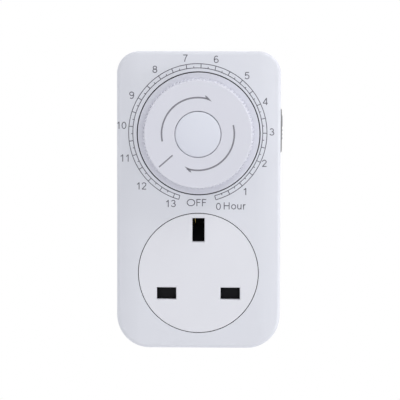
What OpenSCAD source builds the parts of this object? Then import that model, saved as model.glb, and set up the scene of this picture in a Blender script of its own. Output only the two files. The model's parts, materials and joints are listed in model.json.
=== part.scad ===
// Plug-in countdown timer switch with a shuttered three-pin outlet.
// The front faces -Y, X runs to the right and Z up. The wall plane is y = 0, the plug pins point along +Y,
// and the origin is the middle of the case's back face.

/* [Case] */
// Width of the case
case_w = 57; // [56:0.5:64]
// Height of the case
case_h = 103.5; // [103:0.5:112]
// Depth of the case, from the wall plane to the front face
case_d = 38; // [37:0.5:44]
// Wall of both covers
wall = 2.2; // [1.8:0.1:2.4]
// Radius of the two top corners
top_corner_r = 7.7; // [6:0.1:9]
// Radius of the two bottom corners
bottom_corner_r = 11.5; // [9:0.1:12.5]
// Rounding of the front edge
front_edge_r = 1.2; // [1:0.1:3]
// Rounding of the back edge
rear_edge_r = 1.4; // [0.8:0.1:2]
// Chamfer on each side of the seam between the covers
seam_chamfer = 0.25; // [0.1:0.05:0.4]
// Depth of the rear cover, from the wall plane to the parting line
rear_cover_d = 10; // [9:0.5:12]
// Shank radius of the case screws
case_screw_r = 1.4; // [1.2:0.1:1.6]
// Head radius of the case screws
case_screw_head_r = 2.6; // [2.2:0.1:2.8]

/* [Dial] */
// Height of the dial's axis above the middle of the case
dial_z = 23.3; // [23:0.1:24.5]
// Radius of the knob's flat skirt
skirt_r = 21.2; // [20:0.02:21.4]
// Running gap round the skirt
skirt_gap = 0.3; // [0.3:0.02:0.5]
// Thickness of the skirt
skirt_t = 1.8; // [1.2:0.1:2]
// How far the skirt stands out of the case
skirt_proud = 0.4; // [0:0.1:1]
// Depth of the recess that the skirt turns in
recess_depth = 2.6; // [2.4:0.1:3]
// Grip radius at the skirt, to the tips of the ribs
grip_base_r = 19.2; // [18:0.1:19.6]
// Grip radius at the front, to the tips of the ribs
grip_front_r = 18.8; // [17.4:0.1:19]
// Height of the grip above the skirt
grip_h = 7.6; // [6:0.1:11]
// Number of ribs round the grip
rib_count = 90; // [60:2:100]
// Height of each rib
rib_depth = 0.4; // [0.3:0.05:0.6]
// Wall of the knob
knob_wall = 1.8; // [1.4:0.1:2.2]
// Radius of the middle cap
cap_r = 7.95; // [7:0.05:9]
// Thickness of the middle cap
cap_t = 1.2; // [0.8:0.1:1.6]
// Radius of the dial shaft
shaft_r = 3; // [2.6:0.1:3.2]
// Wall of the front bearing bush
bush_wall = 1.5; // [1:0.1:2]
// Direction of the pointer and of the cam's notch, counter-clockwise from +X
pointer_angle = 221.3; // [200:1:250]
// Radius of the cam
cam_r = 13; // [12:0.1:13.2]
// Depth of the cam's notch
cam_notch = 3; // [2:0.1:4]

/* [Outlet] */
// Height of the outlet's centre against the middle of the case
outlet_z = -25.4; // [-26:0.1:-25]
// Radius of the outlet's face plate
outlet_r = 20.8; // [20.4:0.1:21]
// Gap round the face plate
outlet_gap = 0.25; // [0.15:0.05:0.35]
// Thickness of the face plate
outlet_face_t = 2.6; // [2.4:0.1:3]
// Pitch between the line and neutral contacts, and from their line to the earth contact
pin_pitch = 22.23; // [22.2:0.01:22.3]
// Height of the earth contact above the outlet's centre
earth_rise = 15.06; // [14.8:0.02:15.2]
// Width of the earth aperture
earth_slot_w = 4.25; // [4.2:0.05:4.5]
// Height of the earth aperture
earth_slot_h = 8.3; // [8.2:0.05:8.6]
// Width of the line and neutral apertures
line_slot_w = 6.75; // [6.6:0.05:7]
// Height of the line and neutral apertures
line_slot_h = 4.15; // [4.12:0.01:4.4]
// Chamfer round each aperture
slot_chamfer = 0.3; // [0.1:0.05:0.5]
// Thickness of the shutter
shutter_t = 2.4; // [2:0.1:2.6]
// Travel of the shutter
shutter_travel = 5.3; // [5.1:0.1:5.4]

/* [Plug pins] */
// Thickness of every pin
pin_t = 3.97; // [3.9:0.01:4.05]
// Width of the line and neutral pins
line_pin_w = 6.35; // [6.2:0.01:6.5]
// Width of the earth pin
earth_pin_w = 7.92; // [7.8:0.01:8.05]
// Length of the line and neutral pins beyond the wall plane
line_pin_len = 17.73; // [17.2:0.01:18.2]
// Length of the earth pin beyond the wall plane
earth_pin_len = 22.73; // [22.2:0.01:23.2]
// Length of the insulating sleeves
sleeve_len = 9.4; // [8.5:0.1:9.5]
// Wall of the insulating sleeves
sleeve_wall = 0.55; // [0.4:0.05:0.7]

/* [Side switch] */
// Height of the bezel's middle above the middle of the case
bezel_z = 23.8; // [23.5:0.1:25]
// Length of the bezel
bezel_len = 15.8; // [14.8:0.1:16]
// Width of the bezel, along the case's depth
bezel_w = 9; // [8:0.1:10]
// How far the bezel stands out of the side
bezel_proud = 0.8; // [0.3:0.1:0.9]
// Rounding of the bezel's ends
bezel_end_r = 0.9; // [0.5:0.1:1.5]
// Length of the slider
slider_len = 9.1; // [8.6:0.1:9.4]
// Width of the slider
slider_w = 5.8; // [5:0.1:6]
// How far the slider stands out of the side
slider_proud = 1.3; // [0.9:0.1:1.6]
// Travel of the slider
slider_travel = 2.3; // [2:0.1:2.4]
// Number of ridges on the slider
ridge_count = 3; // [2:1:3]
// Pitch of the ridges
ridge_pitch = 1.4; // [1.2:0.1:1.5]
// Depth of the slider's middle behind the front face
switch_depth = 16; // [15:0.5:18]

/* [Gear train] */
// Teeth of the drive wheel and of the idler's wheel
wheel_teeth = 38; // [36:2:40]
// Teeth of the motor pinion and of the idler's pinion
pinion_teeth = 10; // [10:1:10]
// Module of the drive wheel and the idler's pinion
drive_module = 0.7; // [0.66:0.01:0.7]
// Module of the idler's wheel and the motor pinion
idler_module = 0.5; // [0.45:0.01:0.5]
// Thickness of each gear wheel
wheel_t = 2; // [1.6:0.1:2.2]
// Direction from the dial's axis to the idler
idler_angle = 143; // [141:1:145]
// Direction from the idler to the motor's output shaft
motor_angle = 20; // [15:1:25]
// Radius of the steel arbors
arbor_r = 1; // [0.8:0.1:1.2]
// Radius of the motor's case
motor_r = 18; // [16:0.5:18.5]
// Depth of the motor's case
motor_d = 12; // [10:0.5:13]
// Thickness of the gear plate
plate_t = 1.6; // [1.2:0.1:2]

/* [Fits] */
// Radial running clearance of the shafts
run_gap = 0.05; // [0.03:0.01:0.08]
// Clearance between sliding or loosely fitted faces
slip_gap = 0.3; // [0.2:0.05:0.35]
// Clearance round a piece that is pushed into its seat
seat_gap = 0.1; // [0.05:0.01:0.15]
// End float of the turning parts
end_float = 0.2; // [0.15:0.05:0.3]

/* [Hidden] */
$fn = 64;

// Colours
case_white = [0.86, 0.87, 0.90];
knob_white = [0.84, 0.85, 0.88];
slide_grey = [0.66, 0.67, 0.70];
slider_grey = [0.80, 0.81, 0.83];
steel = [0.70, 0.71, 0.73];
brass_yellow = [0.80, 0.66, 0.36];
nickel = [0.76, 0.75, 0.72];
black_plastic = [0.08, 0.08, 0.09];
cream_plastic = [0.90, 0.87, 0.78];
gear_white = [0.93, 0.93, 0.90];
wire_brown = [0.42, 0.24, 0.14];

// Steps round a moulded edge
EDGE_STEPS = 8;
// Small overlap that makes a cut pass right through a face
CUT = 0.5;
LAP = 0.4;

// Levels along Y, from the front face back to the wall plane
face_y = -case_d;
front_wall_y = face_y + wall;
rear_wall_y = -wall;
parting_y = -rear_cover_d;
recess_y = face_y + recess_depth;
bulkhead_t = 2;
bulkhead_y = recess_y + bulkhead_t;
bush_tail = 2.2;
bush_back_y = bulkhead_y + bush_tail;
cam_t = 2.4;
cam_y = bush_back_y + end_float;
cam_back_y = cam_y + cam_t;
clutch_t = 0.8;
wheel_y = cam_back_y + clutch_t + run_gap;
wheel_back_y = wheel_y + wheel_t;
clip_t = 0.6;
clip_y = wheel_back_y + run_gap * 2;
clip_back_y = clip_y + clip_t;
idler_front_y = wheel_y - 0.5;
idler_wheel_y = clip_back_y + 2;
idler_back_y = idler_wheel_y + wheel_t;
plate_y = idler_back_y + 1;
plate_back_y = plate_y + plate_t;
motor_back_y = plate_back_y + motor_d;

// Knob
skirt_y = face_y - skirt_proud;
skirt_back_y = skirt_y + skirt_t;
knob_y = skirt_y - grip_h;
cap_recess = cap_t + 0.2;
cap_proud = 0.3;
cap_seat_y = knob_y + cap_recess;
hub_r = shaft_r + 2.2;
screw_seat_t = 1.2;
dial_screw_head_r = 2.8;
dial_screw_head_t = 1.2;
dial_screw_r = 1.2;
hub_web_y = cap_seat_y + dial_screw_head_t + seat_gap;
shaft_front_y = hub_web_y + screw_seat_t;
shaft_flat = shaft_r * 0.7;
spigot_r = 1.9;

// Gear centres, seen from the front
wheel_r = wheel_teeth / 2;
pinion_r = pinion_teeth / 2;
drive_centres = (wheel_r + pinion_r) * drive_module;
idler_centres = (wheel_r + pinion_r) * idler_module;
idler_x = drive_centres * cos(idler_angle);
idler_z = dial_z + drive_centres * sin(idler_angle);
output_x = idler_x + idler_centres * cos(motor_angle);
output_z = idler_z + idler_centres * sin(motor_angle);
motor_z = dial_z + 2.7;
PRESSURE = 20;
// Profile shift that keeps a ten-tooth pinion free of undercut
SHIFT = 0.4;
gear_backlash = 0.14;

// Case fixings, seen from the front
case_top = case_h / 2;
case_side = case_w / 2;
post_r = 3.2;
tower_r = 3.6;
top_screw = [case_side - 5.9, case_top - 6.2];
bottom_screw = [case_side - 6.9, case_top - 6.9];
case_screw_at = [
    for (side = [-1, 1]) [side * top_screw[0], top_screw[1]],
    for (side = [-1, 1]) [side * bottom_screw[0], -bottom_screw[1]]
];
case_screw_len = 18;
case_screw_head_t = 2;
head_depth = 3;
plate_post_r = 2.4;
plate_screw_r = 1.1;
plate_post_at = [
    [-8, dial_z + 22.7], [case_side - 14.5, dial_z + 19.7],
    [case_side - 8.5, dial_z - 8.8], [8.5 - case_side, dial_z - 11.3]
];
motor_screw_at = [for (side = [-1, 1]) [side * (motor_r - 3), motor_z - 5]];

// Outlet
earth_z = outlet_z + earth_rise;
line_z = earth_z - pin_pitch;
line_x = pin_pitch / 2;
outlet_face_back_y = face_y + outlet_face_t;
base_r = 22.4;
base_flange_r = 22.9;
chamber_r = 19.4;
shutter_room = 2.4;
shutter_y = outlet_face_back_y + shutter_room;
shutter_back_y = shutter_y + shutter_t;
base_floor_y = shutter_back_y + end_float;
base_back_y = -12;
stop_y = 2;
stop_half_w = pin_t / 2 - 0.3;
shutter_lap = 0.3;
shutter_top_z = line_z + line_slot_h / 2 + shutter_lap;
shutter_bottom_z = line_z - line_slot_h / 2 - shutter_lap;
shutter_half_w = line_x + line_slot_w / 2 + shutter_lap;
ramp_top_z = earth_z - earth_slot_h / 2 + shutter_travel - 0.2;
ramp_reach = 5;
web_half_w = earth_slot_w / 2 + 0.5;
spring_r = 1.15;
spring_wire_r = 0.25;
spring_turns = 6;
spring_seat_z = outlet_z - chamber_r + 0.6;
spring_y = base_floor_y - spring_r - spring_wire_r - 0.1;

// Plug pins
pin_head_t = 2.2;
pin_head_rim = 1.5;
pin_chamfer = 0.9;
busbar_t = 0.8;
busbar_y = base_back_y;
busbar_back_y = busbar_y + busbar_t;
live_bar_y = -6.8;

// Side switch
slider_z = bezel_z + slider_travel / 2;
switch_y = face_y + switch_depth;
bezel_seat = 1.2;
track_depth = 0.8;
track_len = slider_len + slider_travel + 2 * slip_gap;
track_w = slider_w + slip_gap;
stem_len = 4.4;
stem_w = 3.2;
link_t = 1.6;
link_x = case_side - wall - slip_gap;
link_w = 7;

// Switch contacts, seen from the front
lever_pivot = [12.5 - case_side, dial_z - 17.3];
lever_pin_r = 1.2;
nose_r = 1.2;
nose_z = dial_z - cam_r - slip_gap - nose_r;
leaf_t = 0.4;
fixed_leaf_z = dial_z - 21.7;
contact_h = 1;
moving_leaf_z = fixed_leaf_z + leaf_t + 2 * contact_h;
moving_leaf_top_z = moving_leaf_z + leaf_t;
block_right_x = case_side - wall - 0.8;
block_left_x = block_right_x - 8.5;
contact_x = block_left_x - 5.5;
leaf_left_x = contact_x - 2.5;
leaf_right_x = block_right_x - 1;
block_bottom_z = fixed_leaf_z - busbar_t - 2.4;
block_top_z = moving_leaf_top_z + 1.8;
leaf_y = cam_y;
leaf_back_y = leaf_y + 6;
foot_clear = 0.2;
foot_bottom_z = moving_leaf_top_z + slider_travel + foot_clear;
arm_z = block_top_z + slider_travel + 0.4;
arm_t = 1.6;
strip_w = 4;
strip_x = block_left_x + 3;

// ---------------------------------------------------------------- shared shapes

function arc(cx, cy, r, from, to, steps) =
    [for (i = [0 : steps]) let (a = from + (to - from) * i / steps) [cx + r * cos(a), cy + r * sin(a)]];

// A shape drawn as seen from the front, made solid between two levels of Y
module face_on(front_y, back_y) {
    translate([0, back_y, 0]) rotate([90, 0, 0]) linear_extrude(back_y - front_y) children();
}

// A round bar along Y
module rod(x, z, r, front_y, back_y) {
    translate([x, 0, z]) face_on(front_y, back_y) circle(r);
}

// A box between two corners
module block(low, high) {
    translate(low) cube(high - low);
}

// Section through an edge of the case: outwards, and forwards from the open end with its seam chamfer
function edge_section(reach, depth, r) = concat(
    [[0, 0], [reach - seam_chamfer, 0], [reach, seam_chamfer]],
    arc(reach - r, depth - r, r, 0, 90, EDGE_STEPS),
    [[0, depth]]
);

// A straight side of the case's block
module side_strip(length, reach, depth, r) {
    mirror([0, 1, 0]) translate([0, 0, -length / 2]) linear_extrude(length)
        polygon(edge_section(reach, depth, r));
}

// A corner of the case's block
module corner_sector(reach, depth, r, from) {
    rotate([90, 0, 0]) rotate([0, 0, from]) rotate_extrude(angle = 90)
        polygon(edge_section(reach, depth, r));
}

// The case's outline, inset all round, with its front edge rounded; it spans y from 0 to -depth
module case_block(inset, depth, edge_r) {
    half_w = case_side - inset;
    half_h = case_top - inset;
    top_r = top_corner_r - inset;
    bottom_r = bottom_corner_r - inset;
    side_low = -half_h + bottom_r;
    side_high = half_h - top_r;
    side_mid = (side_low + side_high) / 2;
    // the middle reaches a little into the strips round it
    block([top_r - half_w - LAP, -depth, side_low - LAP], [half_w - top_r + LAP, 0, side_high + LAP]);
    for (turn = [0, 180])
        translate([(half_w - top_r) * cos(turn), 0, side_mid]) rotate([0, turn, 0])
            side_strip(side_high - side_low, top_r, depth, edge_r);
    translate([0, 0, side_high]) rotate([0, -90, 0])
        side_strip(2 * (half_w - top_r), top_r, depth, edge_r);
    translate([0, 0, side_low]) rotate([0, 90, 0])
        side_strip(2 * (half_w - bottom_r), bottom_r, depth, edge_r);
    for (side = [0, 1]) {
        translate([(half_w - top_r) * (1 - 2 * side), 0, side_high])
            corner_sector(top_r, depth, edge_r, 90 * side);
        translate([(half_w - bottom_r) * (1 - 2 * side), 0, side_low])
            corner_sector(bottom_r, depth, edge_r, 270 - 90 * side);
    }
}

// Involute of the pressure angle, in degrees
function involute(a) = tan(a) * 180 / PI - a;

// Half the angle that a tooth takes at radius r, in modules
function tooth_half(r, teeth, shift) =
    let (
        pitch = teeth / 2,
        base = pitch * cos(PRESSURE),
        thick = PI / 2 + 2 * shift * tan(PRESSURE) - gear_backlash,
        a = acos(min(1, base / r))
    )
    thick / (2 * pitch) * 180 / PI + involute(PRESSURE) - involute(a);

// A gear seen from the front, with a tooth on its +X axis
module gear_outline(teeth, module_mm, shift) {
    pitch = teeth / 2;
    root = pitch + shift - 1.25;
    tip = pitch + shift + 1;
    base = max(root, pitch * cos(PRESSURE));
    flank = [root, base + 0.02, (base + tip) / 2, tip];
    polygon([
        for (i = [0 : teeth - 1])
            for (k = [0 : 7])
                let (
                    r = flank[k < 4 ? k : 7 - k],
                    half = tooth_half(max(r, base), teeth, shift),
                    a = i * 360 / teeth + (k < 4 ? -half : half)
                )
                module_mm * r * [cos(a), sin(a)]
    ]);
}

// A screw along Y with its head towards the back and a cross recess
module screw(x, z, r, front_y, head_y, head_r, head_t) {
    translate([x, 0, z]) difference() {
        union() {
            face_on(front_y, head_y) circle(r);
            face_on(head_y, head_y + head_t) circle(head_r);
        }
        for (turn = [45, 135])
            translate([0, head_y + head_t + CUT, 0]) rotate([90, 0, 0]) rotate([0, 0, turn])
                translate([-head_r * 0.6, -head_r * 0.14, 0])
                    cube([head_r * 1.2, head_r * 0.28, head_t * 0.5 + CUT]);
    }
}

// ---------------------------------------------------------------- case

module front_cover() {
    depth = case_d - rear_cover_d;
    color(case_white) difference() {
        union() {
            difference() {
                translate([0, parting_y, 0]) case_block(0, depth, front_edge_r);
                translate([0, parting_y + CUT, 0])
                    case_block(wall, depth - wall + CUT, max(0.8, front_edge_r - wall));
            }
            // dish behind the dial
            rod(0, dial_z, skirt_r + skirt_gap + 1.6, face_y + 1, bulkhead_y);
            // bearing boss
            rod(0, dial_z, shaft_r + bush_wall + 2, recess_y + 0.5, bush_back_y - 0.5);
            // posts for the case screws, the gear plate, the lever and the switch block
            for (p = case_screw_at) rod(p[0], p[1], post_r, face_y + 1, parting_y);
            for (p = plate_post_at) rod(p[0], p[1], plate_post_r, face_y + 1, plate_y);
            rod(lever_pivot[0], lever_pivot[1], lever_pin_r + 1.4, face_y + 1, cam_y);
            block([block_left_x + 0.5, face_y + 1, block_bottom_z + 0.5],
                [block_right_x - 0.5, leaf_y - 0.6, block_top_z - 0.5]);
        }
        rod(0, dial_z, skirt_r + skirt_gap, face_y - CUT, recess_y);
        rod(0, dial_z, shaft_r + bush_wall, face_y, bush_back_y + CUT);
        rod(0, outlet_z, outlet_r + outlet_gap, face_y - CUT, front_wall_y + CUT);
        for (p = case_screw_at)
            rod(p[0], p[1], case_screw_r + run_gap, parting_y - case_screw_len, parting_y + CUT);
        for (p = plate_post_at)
            rod(p[0], p[1], plate_screw_r + run_gap, plate_y - 8, plate_y + CUT);
        rod(lever_pivot[0], lever_pivot[1], lever_pin_r + run_gap, cam_y - 3, cam_y + CUT);
        // bezel pocket and window for the slider's stem
        translate([case_side - bezel_seat, 0, 0]) side_oblong(bezel_len, bezel_w, 3, seat_gap);
        block([case_side - wall - 2, switch_y - stem_w / 2 - slip_gap,
                bezel_z - (stem_len + slider_travel) / 2 - slip_gap],
            [case_side + 1, switch_y + stem_w / 2 + slip_gap,
                bezel_z + (stem_len + slider_travel) / 2 + slip_gap]);
    }
}

module rear_cover() {
    lip_t = 1.2;
    lip_h = 1.8;
    color(case_white) difference() {
        union() {
            difference() {
                union() {
                    translate([0, -rear_cover_d, 0]) mirror([0, 1, 0])
                        case_block(0, rear_cover_d, rear_edge_r);
                    // lip that locates the front cover
                    translate([0, parting_y + CUT, 0]) flat_block(wall + seat_gap, lip_h + CUT);
                }
                translate([0, rear_wall_y, 0])
                    flat_block(wall + seat_gap + lip_t, rear_cover_d - wall + lip_h + CUT);
            }
            for (p = case_screw_at) rod(p[0], p[1], tower_r, parting_y, -0.5);
            // ribs that hold the outlet's base from behind
            for (p = base_rib_at) rod(p[0], p[1], 2, base_back_y, -0.5);
            // collars round the pins
            for (side = [-1, 1])
                pin_collar(side * line_x, line_z, line_pin_w, pin_t);
            pin_collar(0, earth_z, pin_t, earth_pin_w);
        }
        // room for the front cover's posts beside the lip
        for (p = case_screw_at)
            rod(p[0], p[1], post_r + seat_gap, parting_y - lip_h - CUT * 2, parting_y);
        for (p = case_screw_at) {
            rod(p[0], p[1], case_screw_r + slip_gap, parting_y - CUT, CUT);
            rod(p[0], p[1], case_screw_head_r + slip_gap, -head_depth, CUT);
        }
        for (side = [-1, 1])
            pin_hole(side * line_x, line_z, line_pin_w, pin_t);
        pin_hole(0, earth_z, pin_t, earth_pin_w);
    }
}

// The case's outline without a rounded edge, from y = 0 to -depth
module flat_block(inset, depth) {
    half_w = case_side - inset;
    half_h = case_top - inset;
    top_r = top_corner_r - inset;
    bottom_r = bottom_corner_r - inset;
    face_on(-depth, 0) union() {
        for (side = [-1, 1]) {
            translate([side * (half_w - top_r), half_h - top_r]) circle(top_r);
            translate([side * (half_w - bottom_r), bottom_r - half_h]) circle(bottom_r);
        }
        polygon([
            [half_w, half_h - top_r], [half_w - top_r, half_h], [top_r - half_w, half_h],
            [-half_w, half_h - top_r], [-half_w, bottom_r - half_h], [bottom_r - half_w, -half_h],
            [half_w - bottom_r, -half_h], [half_w, bottom_r - half_h]
        ]);
    }
}

base_rib_at = [[-line_x - 4.9, outlet_z + 8], [strip_x - 4, outlet_z + 8], [0, outlet_z - 16]];

module pin_collar(x, z, w, h) {
    rim = pin_head_rim + 1.2;
    block([x - w / 2 - rim, rear_wall_y - pin_head_t, z - h / 2 - rim],
        [x + w / 2 + rim, -0.5, z + h / 2 + rim]);
}

module pin_hole(x, z, w, h) {
    rim = pin_head_rim + seat_gap;
    block([x - w / 2 - seat_gap, rear_wall_y - CUT, z - h / 2 - seat_gap],
        [x + w / 2 + seat_gap, CUT, z + h / 2 + seat_gap]);
    block([x - w / 2 - rim, rear_wall_y - pin_head_t - CUT, z - h / 2 - rim],
        [x + w / 2 + rim, rear_wall_y, z + h / 2 + rim]);
}

module case_screws() {
    color(steel) for (p = case_screw_at)
        screw(p[0], p[1], case_screw_r, parting_y - case_screw_len + 1, -head_depth,
            case_screw_head_r, case_screw_head_t);
}

// ---------------------------------------------------------------- dial

module dial_knob() {
    edge = 0.35;
    core_base_r = grip_base_r - rib_depth;
    core_front_r = grip_front_r - rib_depth;
    inner_r = core_front_r - knob_wall;
    color(knob_white) translate([0, 0, dial_z]) difference() {
        union() {
            rotate([90, 0, 0]) rotate_extrude() polygon([
                [0, -skirt_back_y], [skirt_r - 0.3, -skirt_back_y], [skirt_r, -skirt_back_y + 0.3],
                [skirt_r, -skirt_y - 0.3], [skirt_r - 0.3, -skirt_y], [core_base_r, -skirt_y],
                [core_front_r, -knob_y - edge], [core_front_r - edge, -knob_y], [0, -knob_y]
            ]);
            for (i = [0 : rib_count - 1])
                rotate([90, 0, 0]) rotate([0, 0, (i - 0.25) * 360 / rib_count])
                    rotate_extrude(angle = 180 / rib_count) polygon([
                        [core_front_r - 1, -skirt_y - 0.2], [grip_base_r, -skirt_y - 0.2],
                        [grip_front_r, -knob_y - edge * 1.6],
                        [core_front_r - 0.05, -knob_y - edge * 0.6], [core_front_r - 1, -knob_y - edge * 0.6]
                    ]);
            rod(0, 0, hub_r, skirt_back_y - 1, recess_y - end_float);
        }
        // hollow behind the face, round the hub
        difference() {
            rod(0, 0, inner_r, knob_y + knob_wall, skirt_back_y + CUT);
            rod(0, 0, hub_r, knob_y, skirt_back_y + 1);
            rod(0, 0, cap_r + 1.4, knob_y, cap_seat_y + 1.6);
            for (turn = [0 : 60 : 300])
                rotate([0, -turn, 0]) block([0, knob_y, -0.6], [inner_r + 1, skirt_back_y - 1.2, 0.6]);
        }
        rod(0, 0, cap_r + seat_gap, knob_y - CUT, cap_seat_y);
        rod(0, 0, dial_screw_head_r + slip_gap, cap_seat_y - CUT, hub_web_y);
        rod(0, 0, dial_screw_r + slip_gap, hub_web_y - CUT, shaft_front_y + CUT);
        face_on(shaft_front_y, recess_y + CUT) shaft_section(seat_gap);
    }
}

// Shaft with a flat, seen from the front
module shaft_section(gap) {
    intersection() {
        circle(shaft_r + gap);
        translate([-shaft_r - 1, -shaft_r - 1])
            square([2 * shaft_r + 2, shaft_r + 1 + shaft_flat + gap]);
    }
}

module dial_cap() {
    rim = 0.3;
    crown_r = cap_r - rim;
    color(knob_white) translate([0, 0, dial_z]) rotate([90, 0, 0]) rotate_extrude() polygon(concat(
        [[0, -cap_seat_y], [cap_r, -cap_seat_y], [cap_r, -knob_y - rim / 2], [crown_r, -knob_y + rim / 3]],
        [for (i = [1 : 6]) let (r = crown_r * (1 - i / 6)) [
            r, -knob_y + rim / 3 + (cap_proud - rim / 3) * (1 - pow(r / crown_r, 2))
        ]]
    ));
}

module dial_screw() {
    color(steel) translate([0, 0, dial_z]) difference() {
        union() {
            rod(0, 0, dial_screw_head_r, hub_web_y - dial_screw_head_t + 0.1, hub_web_y);
            rod(0, 0, dial_screw_r, hub_web_y - 0.1, shaft_front_y + 7);
        }
        block([-2, hub_web_y - 2, -0.35], [2, hub_web_y - dial_screw_head_t + 0.7, 0.35]);
    }
}

module dial_shaft() {
    color(nickel) translate([0, 0, dial_z]) difference() {
        union() {
            face_on(shaft_front_y, recess_y + 0.5) shaft_section(0);
            rod(0, 0, shaft_r, recess_y + 0.2, clip_back_y + 0.6);
            rod(0, 0, spigot_r, clip_back_y, plate_back_y - 0.3);
        }
        rod(0, 0, dial_screw_r + run_gap, shaft_front_y - CUT, shaft_front_y + 8);
        difference() {
            rod(0, 0, shaft_r + 1, clip_y, clip_back_y);
            rod(0, 0, shaft_r - 0.6, clip_y - 1, clip_back_y + 1);
        }
    }
}

module dial_bush() {
    color(brass_yellow) difference() {
        rod(0, dial_z, shaft_r + bush_wall, recess_y, bush_back_y);
        rod(0, dial_z, shaft_r + run_gap, recess_y - 1, bush_back_y + 1);
    }
}

module shaft_clip() {
    ring_r = shaft_r + 1.8;
    color(steel) translate([0, 0, dial_z]) difference() {
        rod(0, 0, ring_r, clip_y, clip_back_y);
        rod(0, 0, shaft_r - 0.6, clip_y - 1, clip_back_y + 1);
        block([-1.4, clip_y - 1, 0], [1.4, clip_back_y + 1, ring_r + 1]);
    }
}

module clutch_spring() {
    outer = shaft_r + 3.4;
    inner = shaft_r + run_gap * 2;
    sheet = 0.3;
    color(steel) translate([0, 0, dial_z]) rotate([90, 0, 0]) rotate_extrude() polygon([
        [inner, -cam_back_y - clutch_t + sheet], [inner, -cam_back_y - clutch_t],
        [outer, -cam_back_y - sheet], [outer, -cam_back_y]
    ]);
}

module cam_disc() {
    half = 13;
    floor_r = cam_r - cam_notch;
    color(cream_plastic) translate([0, 0, dial_z]) difference() {
        face_on(cam_y, cam_back_y) difference() {
            circle(cam_r);
            rotate(pointer_angle) polygon([
                for (p = [[floor_r, -half * 0.7], [cam_r + 1, -half], [cam_r + 1, half], [floor_r, half * 0.7]])
                    p[0] * [cos(p[1]), sin(p[1])]
            ]);
            for (turn = [60 : 60 : 300]) rotate(pointer_angle + turn) translate([cam_r * 0.62, 0]) circle(2);
        }
        rod(0, 0, shaft_r, cam_y - 1, cam_back_y + 1);
    }
}

// ---------------------------------------------------------------- gear train

module drive_wheel() {
    color(gear_white) translate([0, 0, dial_z]) difference() {
        face_on(wheel_y, wheel_back_y) difference() {
            // a gap between teeth faces the idler
            rotate(idler_angle + 180 / wheel_teeth)
                gear_outline(wheel_teeth, drive_module, -SHIFT);
            for (turn = [0 : 72 : 288]) rotate(turn)
                translate([wheel_r * drive_module * 0.64, 0]) circle(2.2);
        }
        rod(0, 0, shaft_r + run_gap, wheel_y - 1, wheel_back_y + 1);
    }
}

module idler_gear() {
    color(gear_white) translate([idler_x, 0, idler_z]) difference() {
        union() {
            // a tooth of the pinion faces the drive wheel
            face_on(idler_front_y, idler_wheel_y + 0.2) rotate(idler_angle + 180)
                gear_outline(pinion_teeth, drive_module, SHIFT);
            face_on(idler_wheel_y, idler_back_y) rotate(motor_angle + 180 / wheel_teeth)
                gear_outline(wheel_teeth, idler_module, -SHIFT);
            rod(0, 0, arbor_r + 1.4, idler_back_y - 0.5, plate_y - end_float);
        }
        rod(0, 0, arbor_r + run_gap, idler_front_y - 1, plate_y + 1);
    }
}

module idler_arbor() {
    head_y = idler_front_y - end_float;
    color(steel) {
        rod(idler_x, idler_z, arbor_r, head_y, plate_back_y);
        rod(idler_x, idler_z, arbor_r + 0.6, head_y - 0.5, head_y);
    }
}

module motor_pinion() {
    color(brass_yellow) {
        translate([output_x, 0, output_z])
            face_on(idler_wheel_y - 0.4, plate_y - end_float)
                rotate(motor_angle + 180) gear_outline(pinion_teeth, idler_module, SHIFT);
        rod(output_x, output_z, arbor_r, plate_y - end_float - 0.1, plate_back_y + 4);
    }
}

module motor_case() {
    color(steel) difference() {
        union() {
            rod(0, motor_z, motor_r, plate_back_y, motor_back_y - 1.2);
            rod(0, motor_z, motor_r - 1.2, motor_back_y - 1.3, motor_back_y);
        }
        rod(output_x, output_z, arbor_r + run_gap, plate_back_y - 1, plate_back_y + 5);
        for (p = motor_screw_at) rod(p[0], p[1], plate_screw_r + run_gap, plate_back_y - 1, plate_back_y + 5);
        rod(0, motor_z, 4, motor_back_y - 0.8, motor_back_y + 1);
    }
}

module motor_terminals() {
    color(cream_plastic) difference() {
        block([-10, motor_back_y - 4.4, motor_z - motor_r - 2.4], [10, motor_back_y - 1.4, motor_z - motor_r + 3]);
        rod(0, motor_z, motor_r, motor_back_y - 10, motor_back_y + 1);
    }
}

module motor_screws() {
    color(steel) for (p = motor_screw_at) {
        rod(p[0], p[1], plate_screw_r, plate_y - 0.1, plate_back_y + 4);
        rod(p[0], p[1], 2, plate_y - 0.9, plate_y);
    }
}

// A wire along points: each ring of the tube lies square to its own stretch
function unit(v) = v / norm(v);
function route_tangent(p, i) = unit(p[min(i + 1, len(p) - 1)] - p[max(i - 1, 0)]);
function ring_at(p, i, r, sides) =
    let (
        t = route_tangent(p, i),
        side = unit(cross(t, [0, 1, 0])),
        up = cross(side, t)
    )
    [for (k = [0 : sides - 1]) p[i] + r * (cos(k * 360 / sides) * side + sin(k * 360 / sides) * up)];

module tube(p, r, sides) {
    n = len(p);
    points = [for (i = [0 : n - 1]) each ring_at(p, i, r, sides)];
    polyhedron(points, concat(
        [[for (k = [sides - 1 : -1 : 0]) k]],
        [for (i = [0 : n - 2]) for (k = [0 : sides - 1]) let (a = i * sides, m = (k + 1) % sides)
            each [[a + k, a + sides + m, a + sides + k], [a + k, a + m, a + sides + m]]],
        [[for (k = [0 : sides - 1]) (n - 1) * sides + k]]
    ));
}

// A smooth curve through hand-set corners
function bezier(a, b, c, t) = (1 - t) * (1 - t) * a + 2 * t * (1 - t) * b + t * t * c;
function rounded_route(p, steps) = concat(
    [p[0]],
    [for (i = [1 : len(p) - 2]) for (s = [0 : steps])
        bezier((p[i - 1] + p[i]) / 2, p[i], (p[i] + p[i + 1]) / 2, s / steps)],
    [p[len(p) - 1]]
);

wire_r = 0.8;
lead_y = motor_back_y - 3;
lead_top_z = motor_z - motor_r - 2.4;
neutral_tab = [-line_x, line_z + 13];
switched_tab = [strip_x + 1.5, outlet_z + 17];

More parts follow.
